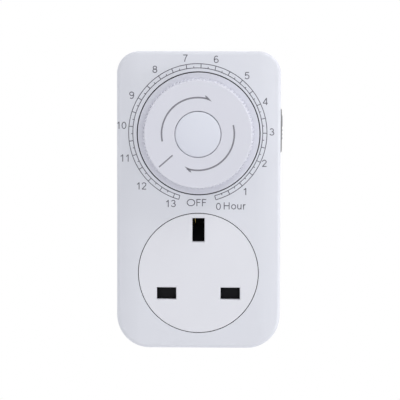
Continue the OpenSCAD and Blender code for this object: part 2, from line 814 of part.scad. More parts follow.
module motor_leads() {
    tab_y = busbar_back_y + wire_r;
    color(wire_brown) {
        tube(rounded_route([
            [-6, lead_y, lead_top_z], [-6, lead_y, lead_top_z - 4], [-8, tab_y + 0.5, lead_top_z - 12],
            [neutral_tab[0], tab_y, neutral_tab[1] + 6], [neutral_tab[0], tab_y, neutral_tab[1] - 1]
        ], 4), wire_r, 8);
        tube(rounded_route([
            [6, lead_y, lead_top_z], [6, lead_y, lead_top_z - 4], [12, tab_y + 0.5, lead_top_z - 7],
            [switched_tab[0], tab_y, switched_tab[1] + 2], [switched_tab[0], tab_y, switched_tab[1] - 3]
        ], 4), wire_r, 8);
    }
}

module gear_plate() {
    left = -case_side + wall + 3.4;
    right = case_side - wall - 3.4;
    low = dial_z - 14.3;
    high = case_top - wall - 1.2;
    color(cream_plastic) difference() {
        union() {
            block([left, plate_y, low], [right, plate_back_y, high]);
            // ear over the lever's pin
            block([lever_pivot[0] - 3.5, plate_y, lever_pivot[1] - 3], [lever_pivot[0] + 3.5, plate_back_y, low + 1]);
            // ear over the switch block
            block([block_left_x, plate_y, moving_leaf_top_z + 0.3], [block_right_x - 1.5, plate_back_y, low + 1]);
        }
        for (p = case_screw_at) rod(p[0], p[1], post_r + slip_gap, plate_y - 1, plate_back_y + 1);
        for (p = plate_post_at) rod(p[0], p[1], plate_screw_r + seat_gap, plate_y - 1, plate_back_y + 1);
        for (p = motor_screw_at) rod(p[0], p[1], plate_screw_r + seat_gap, plate_y - 1, plate_back_y + 1);
        rod(0, dial_z, spigot_r + run_gap, plate_y - 1, plate_back_y + 1);
        rod(idler_x, idler_z, arbor_r, plate_y - 1, plate_back_y + 1);
        rod(output_x, output_z, arbor_r + slip_gap, plate_y - 1, plate_back_y + 1);
        rod(lever_pivot[0], lever_pivot[1], lever_pin_r, plate_y - 1, plate_back_y + 1);
    }
}

module plate_screws() {
    color(steel) for (p = plate_post_at)
        screw(p[0], p[1], plate_screw_r, plate_y - 7, plate_back_y, 2.1, 1.2);
}

// ---------------------------------------------------------------- switch

module switch_lever() {
    arm = 1.1;
    tail_x = contact_x + 1.6;
    pad_z = moving_leaf_top_z;
    color(black_plastic) difference() {
        face_on(cam_y + 0.1, cam_back_y - 0.1) union() {
            translate(lever_pivot) circle(lever_pin_r + 1.4);
            polygon([
                [lever_pivot[0], lever_pivot[1] - arm], [contact_x - 3, pad_z + 0.6], [contact_x - 1.6, pad_z],
                [tail_x, pad_z], [tail_x, pad_z + 2.2], [nose_r, nose_z - 0.2], [-nose_r, nose_z - 0.2],
                [lever_pivot[0], lever_pivot[1] + arm]
            ]);
            translate([0, nose_z]) circle(nose_r);
        }
        rod(lever_pivot[0], lever_pivot[1], lever_pin_r + run_gap, cam_y - 1, cam_back_y + 1);
    }
}

module lever_pin() {
    color(steel) rod(lever_pivot[0], lever_pivot[1], lever_pin_r, cam_y - 3, plate_back_y);
}

module moving_contact_leaf() {
    color(brass_yellow) difference() {
        block([leaf_left_x, leaf_y, moving_leaf_z], [leaf_right_x, leaf_back_y, moving_leaf_top_z]);
        translate([contact_x, leaf_y + 4.4, moving_leaf_z - 1]) cylinder(r = 0.6, h = 3);
    }
}

module moving_contact() {
    color(steel) translate([contact_x, leaf_y + 4.4, 0]) {
        translate([0, 0, moving_leaf_z - contact_h]) cylinder(r = 1.3, h = contact_h);
        translate([0, 0, moving_leaf_z - 0.1]) cylinder(r = 0.6, h = leaf_t + 0.1);
    }
}

module fixed_contact_leaf() {
    color(brass_yellow) difference() {
        block([leaf_left_x + 0.5, leaf_y, fixed_leaf_z], [leaf_right_x, leaf_back_y, fixed_leaf_z + leaf_t]);
        translate([contact_x, leaf_y + 4.4, fixed_leaf_z - 1]) cylinder(r = 0.6, h = 3);
    }
}

module fixed_contact() {
    color(steel) translate([contact_x, leaf_y + 4.4, 0]) {
        translate([0, 0, fixed_leaf_z + leaf_t]) cylinder(r = 1.3, h = contact_h);
        translate([0, 0, fixed_leaf_z]) cylinder(r = 0.6, h = leaf_t + 0.1);
    }
}

module switch_block() {
    color(black_plastic) difference() {
        block([block_left_x, leaf_y - 0.6, block_bottom_z], [block_right_x, plate_y, block_top_z]);
        for (z = [fixed_leaf_z, moving_leaf_z]) {
            block([block_left_x - 1, leaf_y, z], [leaf_right_x, leaf_back_y, z + leaf_t]);
            block([strip_x - seat_gap, leaf_y + 1 - seat_gap, z - busbar_t],
                [strip_x + strip_w + seat_gap, plate_y + 1, z]);
        }
    }
}

// ---------------------------------------------------------------- side switch

// An oblong with round ends on the right side, from x = 0 outwards
module side_oblong(length, width, height, gap) {
    straight = length / 2 - width / 2;
    translate([0, switch_y, bezel_z]) rotate([0, 90, 0]) linear_extrude(height) union() {
        for (end = [-1, 1]) translate([end * straight, 0]) circle(width / 2 + gap);
        square([2 * straight, width + 2 * gap], center = true);
    }
}

module slide_bezel() {
    half = bezel_len / 2;
    front_x = case_side + bezel_proud;
    color(slide_grey) difference() {
        intersection() {
            translate([case_side - bezel_seat, 0, 0]) side_oblong(bezel_len, bezel_w, bezel_seat + 2, 0);
            translate([0, switch_y + bezel_w, bezel_z]) rotate([90, 0, 0]) linear_extrude(2 * bezel_w) union() {
                translate([case_side - bezel_seat, bezel_end_r - half])
                    square([bezel_seat + bezel_proud, 2 * (half - bezel_end_r)]);
                translate([case_side - bezel_seat, -half]) square([bezel_seat + bezel_proud - bezel_end_r, 2 * half]);
                for (end = [-1, 1]) translate([front_x - bezel_end_r, end * (half - bezel_end_r)])
                    circle(bezel_end_r, $fn = 64);
            }
        }
        // track for the slider
        block([case_side + bezel_proud - track_depth, switch_y - track_w / 2, bezel_z - track_len / 2],
            [case_side + 3, switch_y + track_w / 2, bezel_z + track_len / 2]);
        block([case_side - 3, switch_y - stem_w / 2 - slip_gap, bezel_z - (stem_len + slider_travel) / 2 - slip_gap],
            [case_side + 3, switch_y + stem_w / 2 + slip_gap, bezel_z + (stem_len + slider_travel) / 2 + slip_gap]);
    }
}

module slide_button() {
    base_x = case_side + bezel_proud - track_depth + 0.05;
    top_x = case_side + slider_proud;
    ridge = 0.35;
    low = slider_z - slider_len / 2;
    high = slider_z + slider_len / 2;
    ridge_low = low + ridge_pitch * 0.25;
    ridge_high = ridge_low + ridge_count * ridge_pitch;
    color(slider_grey) {
        translate([0, switch_y + slider_w / 2, 0]) rotate([90, 0, 0]) linear_extrude(slider_w) polygon(concat(
            [[base_x, high], [base_x, low], [top_x - ridge - 0.15, low]],
            [for (i = [0 : ridge_count - 1]) let (z = ridge_low + i * ridge_pitch) each [
                [top_x - ridge, z], [top_x, z + ridge_pitch * 0.2],
                [top_x, z + ridge_pitch * 0.45], [top_x - ridge, z + ridge_pitch * 0.65]
            ]],
            [[top_x - ridge, ridge_high], [top_x, ridge_high + 0.6], [top_x, high - 0.7], [top_x - 0.35, high]]
        ));
        block([link_x - 0.1, switch_y - stem_w / 2, slider_z - stem_len / 2],
            [base_x + 0.2, switch_y + stem_w / 2, slider_z + stem_len / 2]);
    }
}

module override_link() {
    arm_y = cam_back_y + 0.4;
    arm_back_y = leaf_back_y - 0.3;
    foot_x = contact_x + 2.4;
    low = arm_z;
    color(black_plastic) {
        difference() {
            block([link_x - link_t, switch_y - link_w / 2, low], [link_x, switch_y + link_w / 2, slider_z + 3.4]);
            // snap seat of the slider's stem
            block([link_x - 0.4, switch_y - stem_w / 2, slider_z - stem_len / 2],
                [link_x + 1, switch_y + stem_w / 2, slider_z + stem_len / 2]);
        }
        block([foot_x, arm_y, low], [link_x, arm_back_y, low + arm_t]);
        block([foot_x, arm_y, foot_bottom_z], [foot_x + 2.6, arm_back_y, low + 0.5]);
        block([link_x - link_t, arm_y, low], [link_x, switch_y, low + 4]);
    }
}

// ---------------------------------------------------------------- outlet

module socket_face() {
    color(case_white) difference() {
        union() {
            rod(0, outlet_z, outlet_r, face_y, outlet_face_back_y);
            // rails that keep the shutter on its floor
            for (side = [-1, 1]) {
                block([side * 5.2 - 0.8, outlet_face_back_y - 0.5, outlet_z - 14],
                    [side * 5.2 + 0.8, shutter_y - end_float, outlet_z + 4]);
            }
        }
        for (side = [-1, 1])
            aperture(side * line_x, line_z, line_slot_w, line_slot_h);
        aperture(0, earth_z, earth_slot_w, earth_slot_h);
    }
}

// A rectangular hole through the face plate with a chamfered mouth
module aperture(x, z, w, h) {
    function mouth(half) = [
        [-half - slot_chamfer - 1, face_y - 1], [-half, face_y + slot_chamfer], [-half, outlet_face_back_y + 1],
        [half, outlet_face_back_y + 1], [half, face_y + slot_chamfer], [half + slot_chamfer + 1, face_y - 1]
    ];
    translate([x, 0, z]) intersection() {
        translate([0, 0, -h]) linear_extrude(2 * h) polygon(mouth(w / 2));
        translate([-w, 0, 0]) rotate([90, 0, 90]) linear_extrude(2 * w)
            polygon([for (p = mouth(h / 2)) [p[1], p[0]]]);
    }
}

module shutter() {
    ramp_front_z = ramp_top_z - ramp_reach;
    ramp_back_y = shutter_y + ramp_reach;
    color(black_plastic) union() {
        block([-shutter_half_w, shutter_y, shutter_bottom_z], [shutter_half_w, shutter_back_y, shutter_top_z]);
        translate([-web_half_w, 0, 0]) rotate([90, 0, 90]) linear_extrude(2 * web_half_w) polygon([
            [shutter_y, shutter_top_z - 0.5], [shutter_back_y, shutter_top_z - 0.5],
            [shutter_back_y, ramp_front_z - 1.5], [ramp_back_y, ramp_front_z - 1.5],
            [ramp_back_y, ramp_top_z], [shutter_y, ramp_front_z]
        ]);
    }
}

module shutter_spring() {
    steps = 14;
    rings = spring_turns * steps;
    low = spring_seat_z + spring_wire_r;
    high = shutter_bottom_z - spring_wire_r;
    sides = 6;
    points = [
        for (i = [0 : rings])
            let (t = i * 360 / steps, z = low + (high - low) * i / rings)
            for (k = [0 : sides - 1])
                let (a = k * 360 / sides, r = spring_r + spring_wire_r * cos(a))
                [r * cos(t), spring_y + r * sin(t), z + spring_wire_r * sin(a)]
    ];
    color(steel) polyhedron(points, concat(
        [[for (k = [sides - 1 : -1 : 0]) k]],
        [for (i = [0 : rings - 1]) for (k = [0 : sides - 1]) let (a = i * sides, m = (k + 1) % sides)
            each [[a + k, a + sides + m, a + sides + k], [a + k, a + m, a + sides + m]]],
        [[for (k = [0 : sides - 1]) rings * sides + k]]
    ));
}

module socket_base() {
    line_w = line_slot_w + 0.6;
    line_h = line_slot_h + 2.6;
    color(black_plastic) difference() {
        union() {
            rod(0, outlet_z, base_r, front_wall_y, base_back_y);
            rod(0, outlet_z, base_flange_r, front_wall_y + 0.3, front_wall_y + 2);
        }
        rod(0, outlet_z, outlet_r + outlet_gap, front_wall_y - 1, outlet_face_back_y);
        rod(0, outlet_z, chamber_r, outlet_face_back_y - 1, base_floor_y);
        // guide for the shutter's plate
        intersection() {
            block([-shutter_half_w - slip_gap, shutter_y - end_float, shutter_bottom_z - shutter_travel - slip_gap],
                [shutter_half_w + slip_gap, base_floor_y, shutter_top_z + slip_gap]);
            rod(0, outlet_z, base_r - 0.9, shutter_y - 1, base_floor_y + 1);
        }
        // line and neutral contact pockets, and the slot for the shutter's ramp and the earth contact
        for (side = [-1, 1])
            block([side * line_x - line_w / 2, base_floor_y - 1, line_z - line_h / 2],
                [side * line_x + line_w / 2, base_back_y + 1, line_z + line_h / 2]);
        block([-web_half_w - slip_gap, base_floor_y - 1, ramp_top_z - ramp_reach - 1.5 - shutter_travel - slip_gap],
            [web_half_w + slip_gap, shutter_y + ramp_reach + slip_gap, earth_z + earth_slot_h / 2 + 0.2]);
        block([-earth_slot_w / 2 - 1.2, base_floor_y - 1, earth_z - earth_slot_h / 2 - 0.2],
            [earth_slot_w / 2 + 1.2, base_back_y + 1, earth_z + earth_slot_h / 2 + 0.2]);
    }
    // stop across the earth contact's well, between its leaves
    color(black_plastic)
        block([-stop_half_w, base_back_y - stop_y, earth_z - earth_slot_h / 2 - 0.8],
            [stop_half_w, base_back_y - stop_y + 1.2, earth_z + earth_slot_h / 2 + 0.8]);
    // peg inside the shutter's spring
    color(black_plastic) translate([0, spring_y, spring_seat_z - 1])
        cylinder(r = spring_r - spring_wire_r - 0.3, h = 3);
}

// A sprung clip: two leaves with a flared mouth, joined at the back; seen from the side, pointing along -Y
module clip_section(gap, front_y, back_y) {
    leaf = 0.6;
    flare = 0.7;
    half = gap / 2;
    inner = [[front_y, half + flare], [front_y + 1.8, half], [back_y - leaf, half]];
    outer = [[back_y, half + leaf], [front_y + 1.8, half + leaf], [front_y, half + flare + leaf]];
    polygon(concat(
        inner, [for (i = [2 : -1 : 0]) [inner[i][0], -inner[i][1]]],
        [for (i = [2 : -1 : 0]) [outer[i][0], -outer[i][1]]], outer
    ));
}

// Line or neutral clip: its leaves lie above and below the pin
module line_clip(side) {
    width = line_pin_w - 1;
    translate([side * line_x - width / 2, 0, line_z]) rotate([90, 0, 90]) linear_extrude(width)
        clip_section(pin_t - 0.1, base_floor_y + 0.6, base_back_y);
}

module earth_socket_contact() {
    width = earth_pin_w - 1;
    color(brass_yellow) translate([0, 0, earth_z + width / 2]) rotate([0, 90, 0]) rotate([90, 0, 90])
        linear_extrude(width) clip_section(pin_t - 0.1, shutter_y + ramp_reach + 0.6, base_back_y);
}

module live_socket_contact() {
    color(brass_yellow) line_clip(1);
}

module neutral_socket_contact() {
    color(brass_yellow) line_clip(-1);
}

// ---------------------------------------------------------------- plug pins and busbars

// The blade of a pin, beyond the wall plane, with a chamfered tip
module pin_blade(w, h, length) {
    tip = pin_chamfer;
    function side(half) = [
        [-half, -pin_head_t], [-half, length - tip], [tip - half, length],
        [half - tip, length], [half, length - tip], [half, -pin_head_t]
    ];
    intersection() {
        translate([0, 0, -h]) linear_extrude(2 * h) polygon(side(w / 2));
        translate([-w, 0, 0]) rotate([90, 0, 90]) linear_extrude(2 * w)
            polygon([for (p = side(h / 2)) [p[1], p[0]]]);
    }
}

// A pin with its head inside the rear cover and a shank that reaches its busbar
module plug_pin(x, z, w, h, length, shank_y) {
    translate([x, 0, z]) {
        pin_blade(w, h, length);
        block([-w / 2 - pin_head_rim, rear_wall_y - pin_head_t, -h / 2 - pin_head_rim],
            [w / 2 + pin_head_rim, rear_wall_y, h / 2 + pin_head_rim]);
        block([-w / 2 + 0.6, shank_y, -h / 2 + 0.6], [w / 2 - 0.6, rear_wall_y - pin_head_t + 0.1, h / 2 - 0.6]);
    }
}

// Room that a sleeve takes out of a pin
module sleeve_room(side) {
    translate([side * line_x, 0, line_z]) difference() {
        block([-line_pin_w / 2 - 1, rear_wall_y, -pin_t / 2 - 1], [line_pin_w / 2 + 1, sleeve_len, pin_t / 2 + 1]);
        block([sleeve_wall - line_pin_w / 2, rear_wall_y - 1, sleeve_wall - pin_t / 2],
            [line_pin_w / 2 - sleeve_wall, sleeve_len + 1, pin_t / 2 - sleeve_wall]);
    }
}

module earth_pin() {
    color(nickel) plug_pin(0, earth_z, pin_t, earth_pin_w, earth_pin_len, busbar_back_y);
}

module live_pin() {
    color(nickel) difference() {
        plug_pin(line_x, line_z, line_pin_w, pin_t, line_pin_len, live_bar_y + busbar_t);
        sleeve_room(1);
    }
}

module neutral_pin() {
    color(nickel) difference() {
        plug_pin(-line_x, line_z, line_pin_w, pin_t, line_pin_len, busbar_back_y);
        sleeve_room(-1);
    }
}

module pin_sleeve(side) {
    color(black_plastic) translate([side * line_x, 0, line_z]) difference() {
        block([-line_pin_w / 2, rear_wall_y, -pin_t / 2], [line_pin_w / 2, sleeve_len, pin_t / 2]);
        block([sleeve_wall - line_pin_w / 2, rear_wall_y - 1, sleeve_wall - pin_t / 2],
            [line_pin_w / 2 - sleeve_wall, sleeve_len + 1, pin_t / 2 - sleeve_wall]);
    }
}

module live_pin_sleeve() {
    pin_sleeve(1);
}

module neutral_pin_sleeve() {
    pin_sleeve(-1);
}

module earth_strap() {
    color(brass_yellow)
        block([-2.6, busbar_y, earth_z - 3.6], [2.6, busbar_back_y, earth_z + 3.6]);
}

module neutral_busbar() {
    color(brass_yellow)
        block([-line_x - 3, busbar_y, line_z - 2.4], [-line_x + 3, busbar_back_y, neutral_tab[1] + 1]);
}

// From the live socket contact up to the fixed leaf
module switched_live_busbar() {
    run_z = line_z + 4.6;
    color(brass_yellow) {
        block([line_x - 3, busbar_y, line_z - 2.4], [line_x + 3, busbar_back_y, run_z]);
        block([line_x - 3, busbar_y, run_z - 3], [strip_x + strip_w, busbar_back_y, run_z]);
        block([strip_x, busbar_y, run_z - 3], [strip_x + strip_w, busbar_back_y, fixed_leaf_z]);
        block([strip_x, leaf_y + 1, fixed_leaf_z - busbar_t], [strip_x + strip_w, busbar_back_y, fixed_leaf_z]);
    }
}

// From the live pin up to the moving leaf
module live_busbar() {
    color(brass_yellow) {
        block([line_x - 2.6, live_bar_y, line_z - 2], [strip_x + strip_w, live_bar_y + busbar_t, line_z + 2]);
        block([strip_x, live_bar_y, line_z - 2], [strip_x + strip_w, live_bar_y + busbar_t, moving_leaf_z]);
        block([strip_x, leaf_y + 1, moving_leaf_z - busbar_t],
            [strip_x + strip_w, live_bar_y + busbar_t, moving_leaf_z]);
    }
}

front_cover();
rear_cover();
socket_face();
dial_knob();
dial_cap();
slide_bezel();
slide_button();
earth_pin();
live_pin();
neutral_pin();
live_pin_sleeve();
neutral_pin_sleeve();
case_screws();
dial_shaft();
dial_screw();
dial_bush();
shaft_clip();
drive_wheel();
clutch_spring();
cam_disc();
idler_gear();
idler_arbor();
motor_pinion();
motor_case();
motor_terminals();
motor_screws();
motor_leads();
gear_plate();
plate_screws();
switch_lever();
lever_pin();
moving_contact_leaf();
moving_contact();
fixed_contact_leaf();
fixed_contact();
switch_block();
override_link();
shutter();
shutter_spring();
socket_base();
earth_socket_contact();
live_socket_contact();
neutral_socket_contact();
live_busbar();
switched_live_busbar();
neutral_busbar();
earth_strap();
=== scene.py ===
"""Finishes and details for a plug-in countdown timer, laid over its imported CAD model.

Sizes are metres. The front faces -Y, X runs to the right and Z up, as in the CAD model.
"""

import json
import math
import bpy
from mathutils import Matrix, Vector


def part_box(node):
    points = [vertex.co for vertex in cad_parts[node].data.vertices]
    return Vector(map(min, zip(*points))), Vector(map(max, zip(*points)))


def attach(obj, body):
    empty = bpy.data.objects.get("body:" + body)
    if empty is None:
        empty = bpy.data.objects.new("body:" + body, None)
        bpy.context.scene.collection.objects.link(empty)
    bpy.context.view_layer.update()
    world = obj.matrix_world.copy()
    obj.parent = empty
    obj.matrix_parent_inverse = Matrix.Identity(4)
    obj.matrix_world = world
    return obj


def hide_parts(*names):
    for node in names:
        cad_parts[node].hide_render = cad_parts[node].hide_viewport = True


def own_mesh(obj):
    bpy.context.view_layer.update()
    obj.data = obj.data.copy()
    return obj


bl_info = {
    "name": "Countdown Timer Dresser",
    "version": (1, 0, 0),
    "blender": (4, 5, 0),
    "location": "View3D > Sidebar > Timer",
    "description": "Moulded, plated and printed finishes for a plug-in countdown timer",
    "category": "Object",
}

import bmesh
import bpy
from bpy.props import FloatProperty, FloatVectorProperty, IntProperty, PointerProperty
from mathutils import Matrix, Vector

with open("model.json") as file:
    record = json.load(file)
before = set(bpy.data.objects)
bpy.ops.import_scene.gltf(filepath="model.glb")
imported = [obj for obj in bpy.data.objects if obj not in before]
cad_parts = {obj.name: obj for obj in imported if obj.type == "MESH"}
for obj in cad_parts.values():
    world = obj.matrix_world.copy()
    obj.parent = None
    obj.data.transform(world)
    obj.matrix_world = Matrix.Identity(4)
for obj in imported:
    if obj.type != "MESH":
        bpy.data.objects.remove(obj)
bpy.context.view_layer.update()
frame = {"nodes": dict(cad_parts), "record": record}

MM = 0.001
FACE_LOW, FACE_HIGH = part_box("front_cover")
KNOB_LOW, KNOB_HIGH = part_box("dial_knob")
CAP_LOW, CAP_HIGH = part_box("dial_cap")
PLATE_LOW, PLATE_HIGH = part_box("socket_face")
_, SCREWS_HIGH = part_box("case_screws")
FACE_Y = FACE_LOW.y
CASE_HALF_W = FACE_HIGH.x
CASE_HALF_H = FACE_HIGH.z
DIAL = Vector(((KNOB_LOW.x + KNOB_HIGH.x) / 2, 0.0, (KNOB_LOW.z + KNOB_HIGH.z) / 2))
SKIRT_R = (KNOB_HIGH.x - KNOB_LOW.x) / 2
CAP_R = (CAP_HIGH.x - CAP_LOW.x) / 2
KNOB_Y = KNOB_LOW.y
OUTLET = Vector(((PLATE_LOW.x + PLATE_HIGH.x) / 2, 0.0, (PLATE_LOW.z + PLATE_HIGH.z) / 2))
OUTLET_R = (PLATE_HIGH.x - PLATE_LOW.x) / 2

# The crown moves the front wall in full, and fades out over the depth behind it
FRONT_WALL, CROWN_FADE = 2.0 * MM, 4.0 * MM
# Direction of each arrow's start and tip, in degrees counter-clockwise from +X
ARROWS = ((191.9, 70.0), (14.4, -109.5))
POINTER_TURN, POINTER_REACH = math.radians(221.0), (11.5 * MM, 17.7 * MM)
WHITE = (1.0, 1.0, 1.0, 1.0)
# Place and diameter of each lamp, whose power is the stage setting of the same name
LAMPS = {
    "key": ((0.30, -0.20, 0.45), 0.3), "low": ((0.40, -0.15, -0.10), 0.3),
    "fill": ((0.05, -0.90, 0.15), 0.5), "side": ((-0.40, -0.35, 0.35), 0.4),
}


def srgb(red, green, blue):
    """A display colour of 0 to 255 as the linear values that shaders take."""

    def linear(value):
        value /= 255
        return value / 12.92 if value <= 0.04045 else ((value + 0.055) / 1.055) ** 2.4

    return linear(red), linear(green), linear(blue)


def length(name, description, default, high=0.2):
    return FloatProperty(
        name=name, description=description, default=default, min=0.0, max=high, unit="LENGTH",
        subtype="DISTANCE", precision=5,
    )


def angle(name, description, degrees):
    return FloatProperty(name=name, description=description, default=math.radians(degrees), subtype="ANGLE")


def colour(name, description, value):
    return FloatVectorProperty(
        name=name, description=description, default=value, size=3, min=0.0, max=1.0, subtype="COLOR",
    )


def amount(name, description, default, high=1.0):
    return FloatProperty(name=name, description=description, default=default, min=0.0, max=high, subtype="FACTOR")


def power(name, description, default):
    return FloatProperty(name=name, description=description, default=default, min=0.0, unit="POWER")


# ------------------------------------------------------------------ settings


class CaseSettings(bpy.types.PropertyGroup):
    """Sizes and colours of the moulded case and its outlet."""

    body: colour("Case", "Colour of both covers", srgb(217, 219, 226))
    outlet: colour("Outlet", "Colour of the outlet's face plate", srgb(222, 223, 229))
    # The seams' colour is painted shade: it darkens the walls inside the narrow gaps round the dial and the outlet
    seam: colour("Seam dust", "Colour inside the fine seams round the dial and the outlet", srgb(62, 62, 70))
    edge: length("Edge radius", "Radius that eases the moulded edges", 0.08 * MM)
    gloss: amount("Roughness", "Surface roughness of the mouldings", 0.42)
    grain: amount("Grain", "Strength of the spark-eroded mould texture", 0.25)
    drift: amount("Tone drift", "How far the tone drifts over a moulding", 0.03)
    slide_share: amount("Side switch height", "Share of its height to which the side switch is lowered", 0.65)
    crown: length("Crown", "How far the front falls back at its two sides", 1.1 * MM)
    flat: length("Flat half width", "Half of the front's flat width, between the falls to its sides", 20.0 * MM)


class DialSettings(bpy.types.PropertyGroup):
    """Sizes and colours of the ribbed knob."""

    body: colour("Knob", "Colour of the knob", srgb(212, 213, 222))
    cap: colour("Cap", "Colour of the middle cap", srgb(213, 216, 226))
    ribs: IntProperty(name="Ribs", description="Number of ribs round the grip", default=90, min=12, max=180)
    rib_depth: length("Rib depth", "Height of each rib", 0.4 * MM)
    rib_share: amount("Rib share", "Share of the pitch that a rib takes", 0.6)
    base_r: length("Grip base radius", "Radius of the grip at the skirt, to the rib tips", 19.2 * MM)
    front_r: length("Grip front radius", "Radius of the grip at its face, to the rib tips", 18.95 * MM)
    skirt_groove: length("Skirt groove", "How far the skirt's edge is drawn in, beyond its fit in the case", 0.08 * MM)
    skirt_t: length("Skirt thickness", "Thickness of the flat skirt", 1.8 * MM)
    skirt_relief: length("Skirt relief", "How far the skirt's edge draws in towards its back", 0.8 * MM)
    grip_h: length("Grip height", "Height of the grip above the skirt", 7.6 * MM)
    rim: length("Face rim radius", "Rounding of the knob's front rim", 0.32 * MM)
    cap_groove: length("Cap groove", "How far the cap's edge is drawn in, beyond its fit in the knob", 0.15 * MM)


class PrintSettings(bpy.types.PropertyGroup):
    """The printed hour scale and the knob's arrows."""

    ink: colour("Ink", "Colour of the scale's print", srgb(100, 100, 108))
    arrow_ink: colour("Arrow ink", "Colour of the arrows and the pointer", srgb(134, 134, 142))
    thickness: length("Ink thickness", "How far the print stands off the plastic", 0.02 * MM)
    inner_r: length("Inner ring", "Radius of the scale's inner ring", 22.57 * MM)
    outer_r: length("Outer ring", "Radius of the scale's outer ring", 24.03 * MM)
    left: length("Print left", "How far the scale's print lies to the left of the dial's axis", 0.3 * MM)
    up: length("Print up", "How far the scale's print lies above the dial's axis", 0.15 * MM)
    ring_w: length("Ring line", "Width of the ring lines", 0.26 * MM)
    tick_w: length("Tick line", "Width of the ticks", 0.26 * MM)
    short_tick: length("Short tick", "Length of the quarter-hour ticks", 0.58 * MM)
    zero: angle("Zero", "Direction of 0 on the scale, counter-clockwise from +X", -74.7)
    hour: angle("Hour", "Angle of one hour", 24.92)
    tail: angle("Tail", "Angle by which the scale runs on past its last hour", 4.9)
    hours: IntProperty(name="Hours", description="Number of hours on the scale", default=13, min=1, max=24)
    cap_height: length("Figure height", "Height of the figures", 2.48 * MM)
    stroke: length("Figure stroke", "Width of the figures' strokes", 0.29 * MM)
    arrow_r: length("Arrow radius", "Radius of the two arrows", 12.5 * MM)
    arrow_up: length("Arrows up", "How far the arrows' print lies above the dial's axis", 0.15 * MM)
    arrow_w: length("Arrow line", "Width of the arrows' lines", 0.56 * MM)
    edge_r: length("Edge under the print", "Radius of the case's front edge, which the print follows", 1.2 * MM)


class MetalSettings(bpy.types.PropertyGroup):
    """Plated and bare metals."""

    nickel: colour("Nickel", "Colour of the plated pins", srgb(214, 208, 196))
    zinc: colour("Zinc", "Colour of the plated screws", srgb(196, 198, 204))
    brass: colour("Brass", "Colour of the contact strips", srgb(222, 190, 116))
    black: colour("Black moulding", "Colour of the sleeves, shutter and contact base", srgb(20, 20, 24))
    spring_wire: length("Spring wire", "Thickness of the shutter spring's wire", 0.5 * MM)
    spring_turns: FloatProperty(name="Spring turns", description="Turns of the shutter's spring", default=6.0, min=1.0)


class StageSettings(bpy.types.PropertyGroup):
    """Camera, lamps and floor."""

    distance: length("Camera distance", "From the camera to the front face", 0.72, 10.0)
    right: length("Camera right", "How far the camera stands to the right of the timer's middle", 20 * MM, 1.0)
    rise: length("Camera rise", "How far the camera stands above the timer's middle", 53 * MM, 1.0)
    view_width: length("View width", "Width that the view takes in at the front face", 139.16 * MM, 10.0)
    roll: angle("Camera roll", "How far the camera is turned about its own axis", 0.13)
    floor_drop: length("Floor drop", "From the case's foot down to the floor", 0.3, 5.0)
    key: power("Key lamp", "Power of the lamp above on the right", 1.12)
    low: power("Low lamp", "Power of the low lamp on the right", 0.44)
    fill: power("Fill lamp", "Power of the lamp near the camera", 1.60)
    side: power("Side lamp", "Power of the lamp on the left", 0.36)
    front: amount("Front surround", "Strength of the surrounding light from the front", 0.23, 4.0)
    back: amount("Back surround", "Strength of the surrounding light from the back", 1.04, 4.0)


# ------------------------------------------------------------------ node trees


def part(kind, values=None, **settings):
    """A node to be made: its kind, its unlinked inputs by name or number, and its settings."""
    return kind, values or {}, settings


def feed(made, values):
    """Sets a node's unlinked inputs, by name or number."""
    for key, value in values.items():
        made.inputs[key].default_value = value
    return made


def wired(tree, nodes, parts, links):
    """Makes the parts in a tree, and links them with each other and with the nodes already there.

    A line of links reads "from.socket > to.socket, to.socket", with a socket's name or number.
    """
    for name, (kind, values, settings) in parts.items():
        nodes[name] = tree.nodes.new(kind)
        for key, value in settings.items():
            setattr(nodes[name], key, value)
        feed(nodes[name], values)

    def socket(text, side):
        name, label = text.split(".")
        return getattr(nodes[name], side)[int(label) if label.isdigit() else label]

    for line in links.strip().splitlines():
        source, targets = line.strip().split(" > ")
        for target in targets.split(", "):
            tree.links.new(socket(source, "outputs"), socket(target, "inputs"))


def group(name, inputs, outputs, parts, links, kind="ShaderNodeTree"):
    """A node tree with named inputs and outputs, each given by its kind or by its default value."""
    tree = bpy.data.node_groups.new(name, kind)
    for way, sockets in (("INPUT", inputs), ("OUTPUT", outputs)):
        for label, value in sockets.items():
            kinds = {str: value, int: "Int", float: "Float", tuple: "Vector"}
            made = tree.interface.new_socket(label, in_out=way, socket_type=f"NodeSocket{kinds[type(value)]}")
            if not isinstance(value, str):
                made.default_value = value
    ends = {"in": tree.nodes.new("NodeGroupInput"), "out": tree.nodes.new("NodeGroupOutput")}
    wired(tree, ends, parts, links)
    return tree


# 1 for what is seen directly, mirrored or through glass, and 0 for the light that falls on the timer
SEEN_PARTS = {
    "rays": part("ShaderNodeLightPath"),
    "mirrored": part("ShaderNodeMath", operation="ADD", use_clamp=True),
    "seen": part("ShaderNodeMath", operation="ADD", use_clamp=True),
}
SEEN_LINKS = """rays.Is Camera Ray > mirrored.0
    rays.Is Glossy Ray > mirrored.1
    mirrored.0 > seen.0
    rays.Is Transmission Ray > seen.1"""


def mould_grain():
    """Fine spark-eroded texture of an injection mould: Height for a bump, Mask for roughness."""
    return group(
        "Mould grain", {"Scale": 2600.0, "Pits": 0.35}, {"Height": "Float", "Mask": "Float"},
        {
            "place": part("ShaderNodeTexCoord"),
            "fine": part("ShaderNodeTexNoise", {"Detail": 3.0, "Roughness": 0.6}),
            "cells": part("ShaderNodeTexVoronoi", {"Smoothness": 0.6}, feature="SMOOTH_F1"),
            "blend": part("ShaderNodeMix", data_type="FLOAT"),
            "broad": part("ShaderNodeTexNoise", {"Scale": 60.0, "Detail": 4.0, "Roughness": 0.55}),
        },
        """place.Object > fine.Vector, cells.Vector, broad.Vector
        in.Scale > fine.Scale, cells.Scale
        in.Pits > blend.Factor
        fine.Fac > blend.A
        cells.Distance > blend.B
        blend.Result > out.Height
        broad.Fac > out.Mask""",
    )


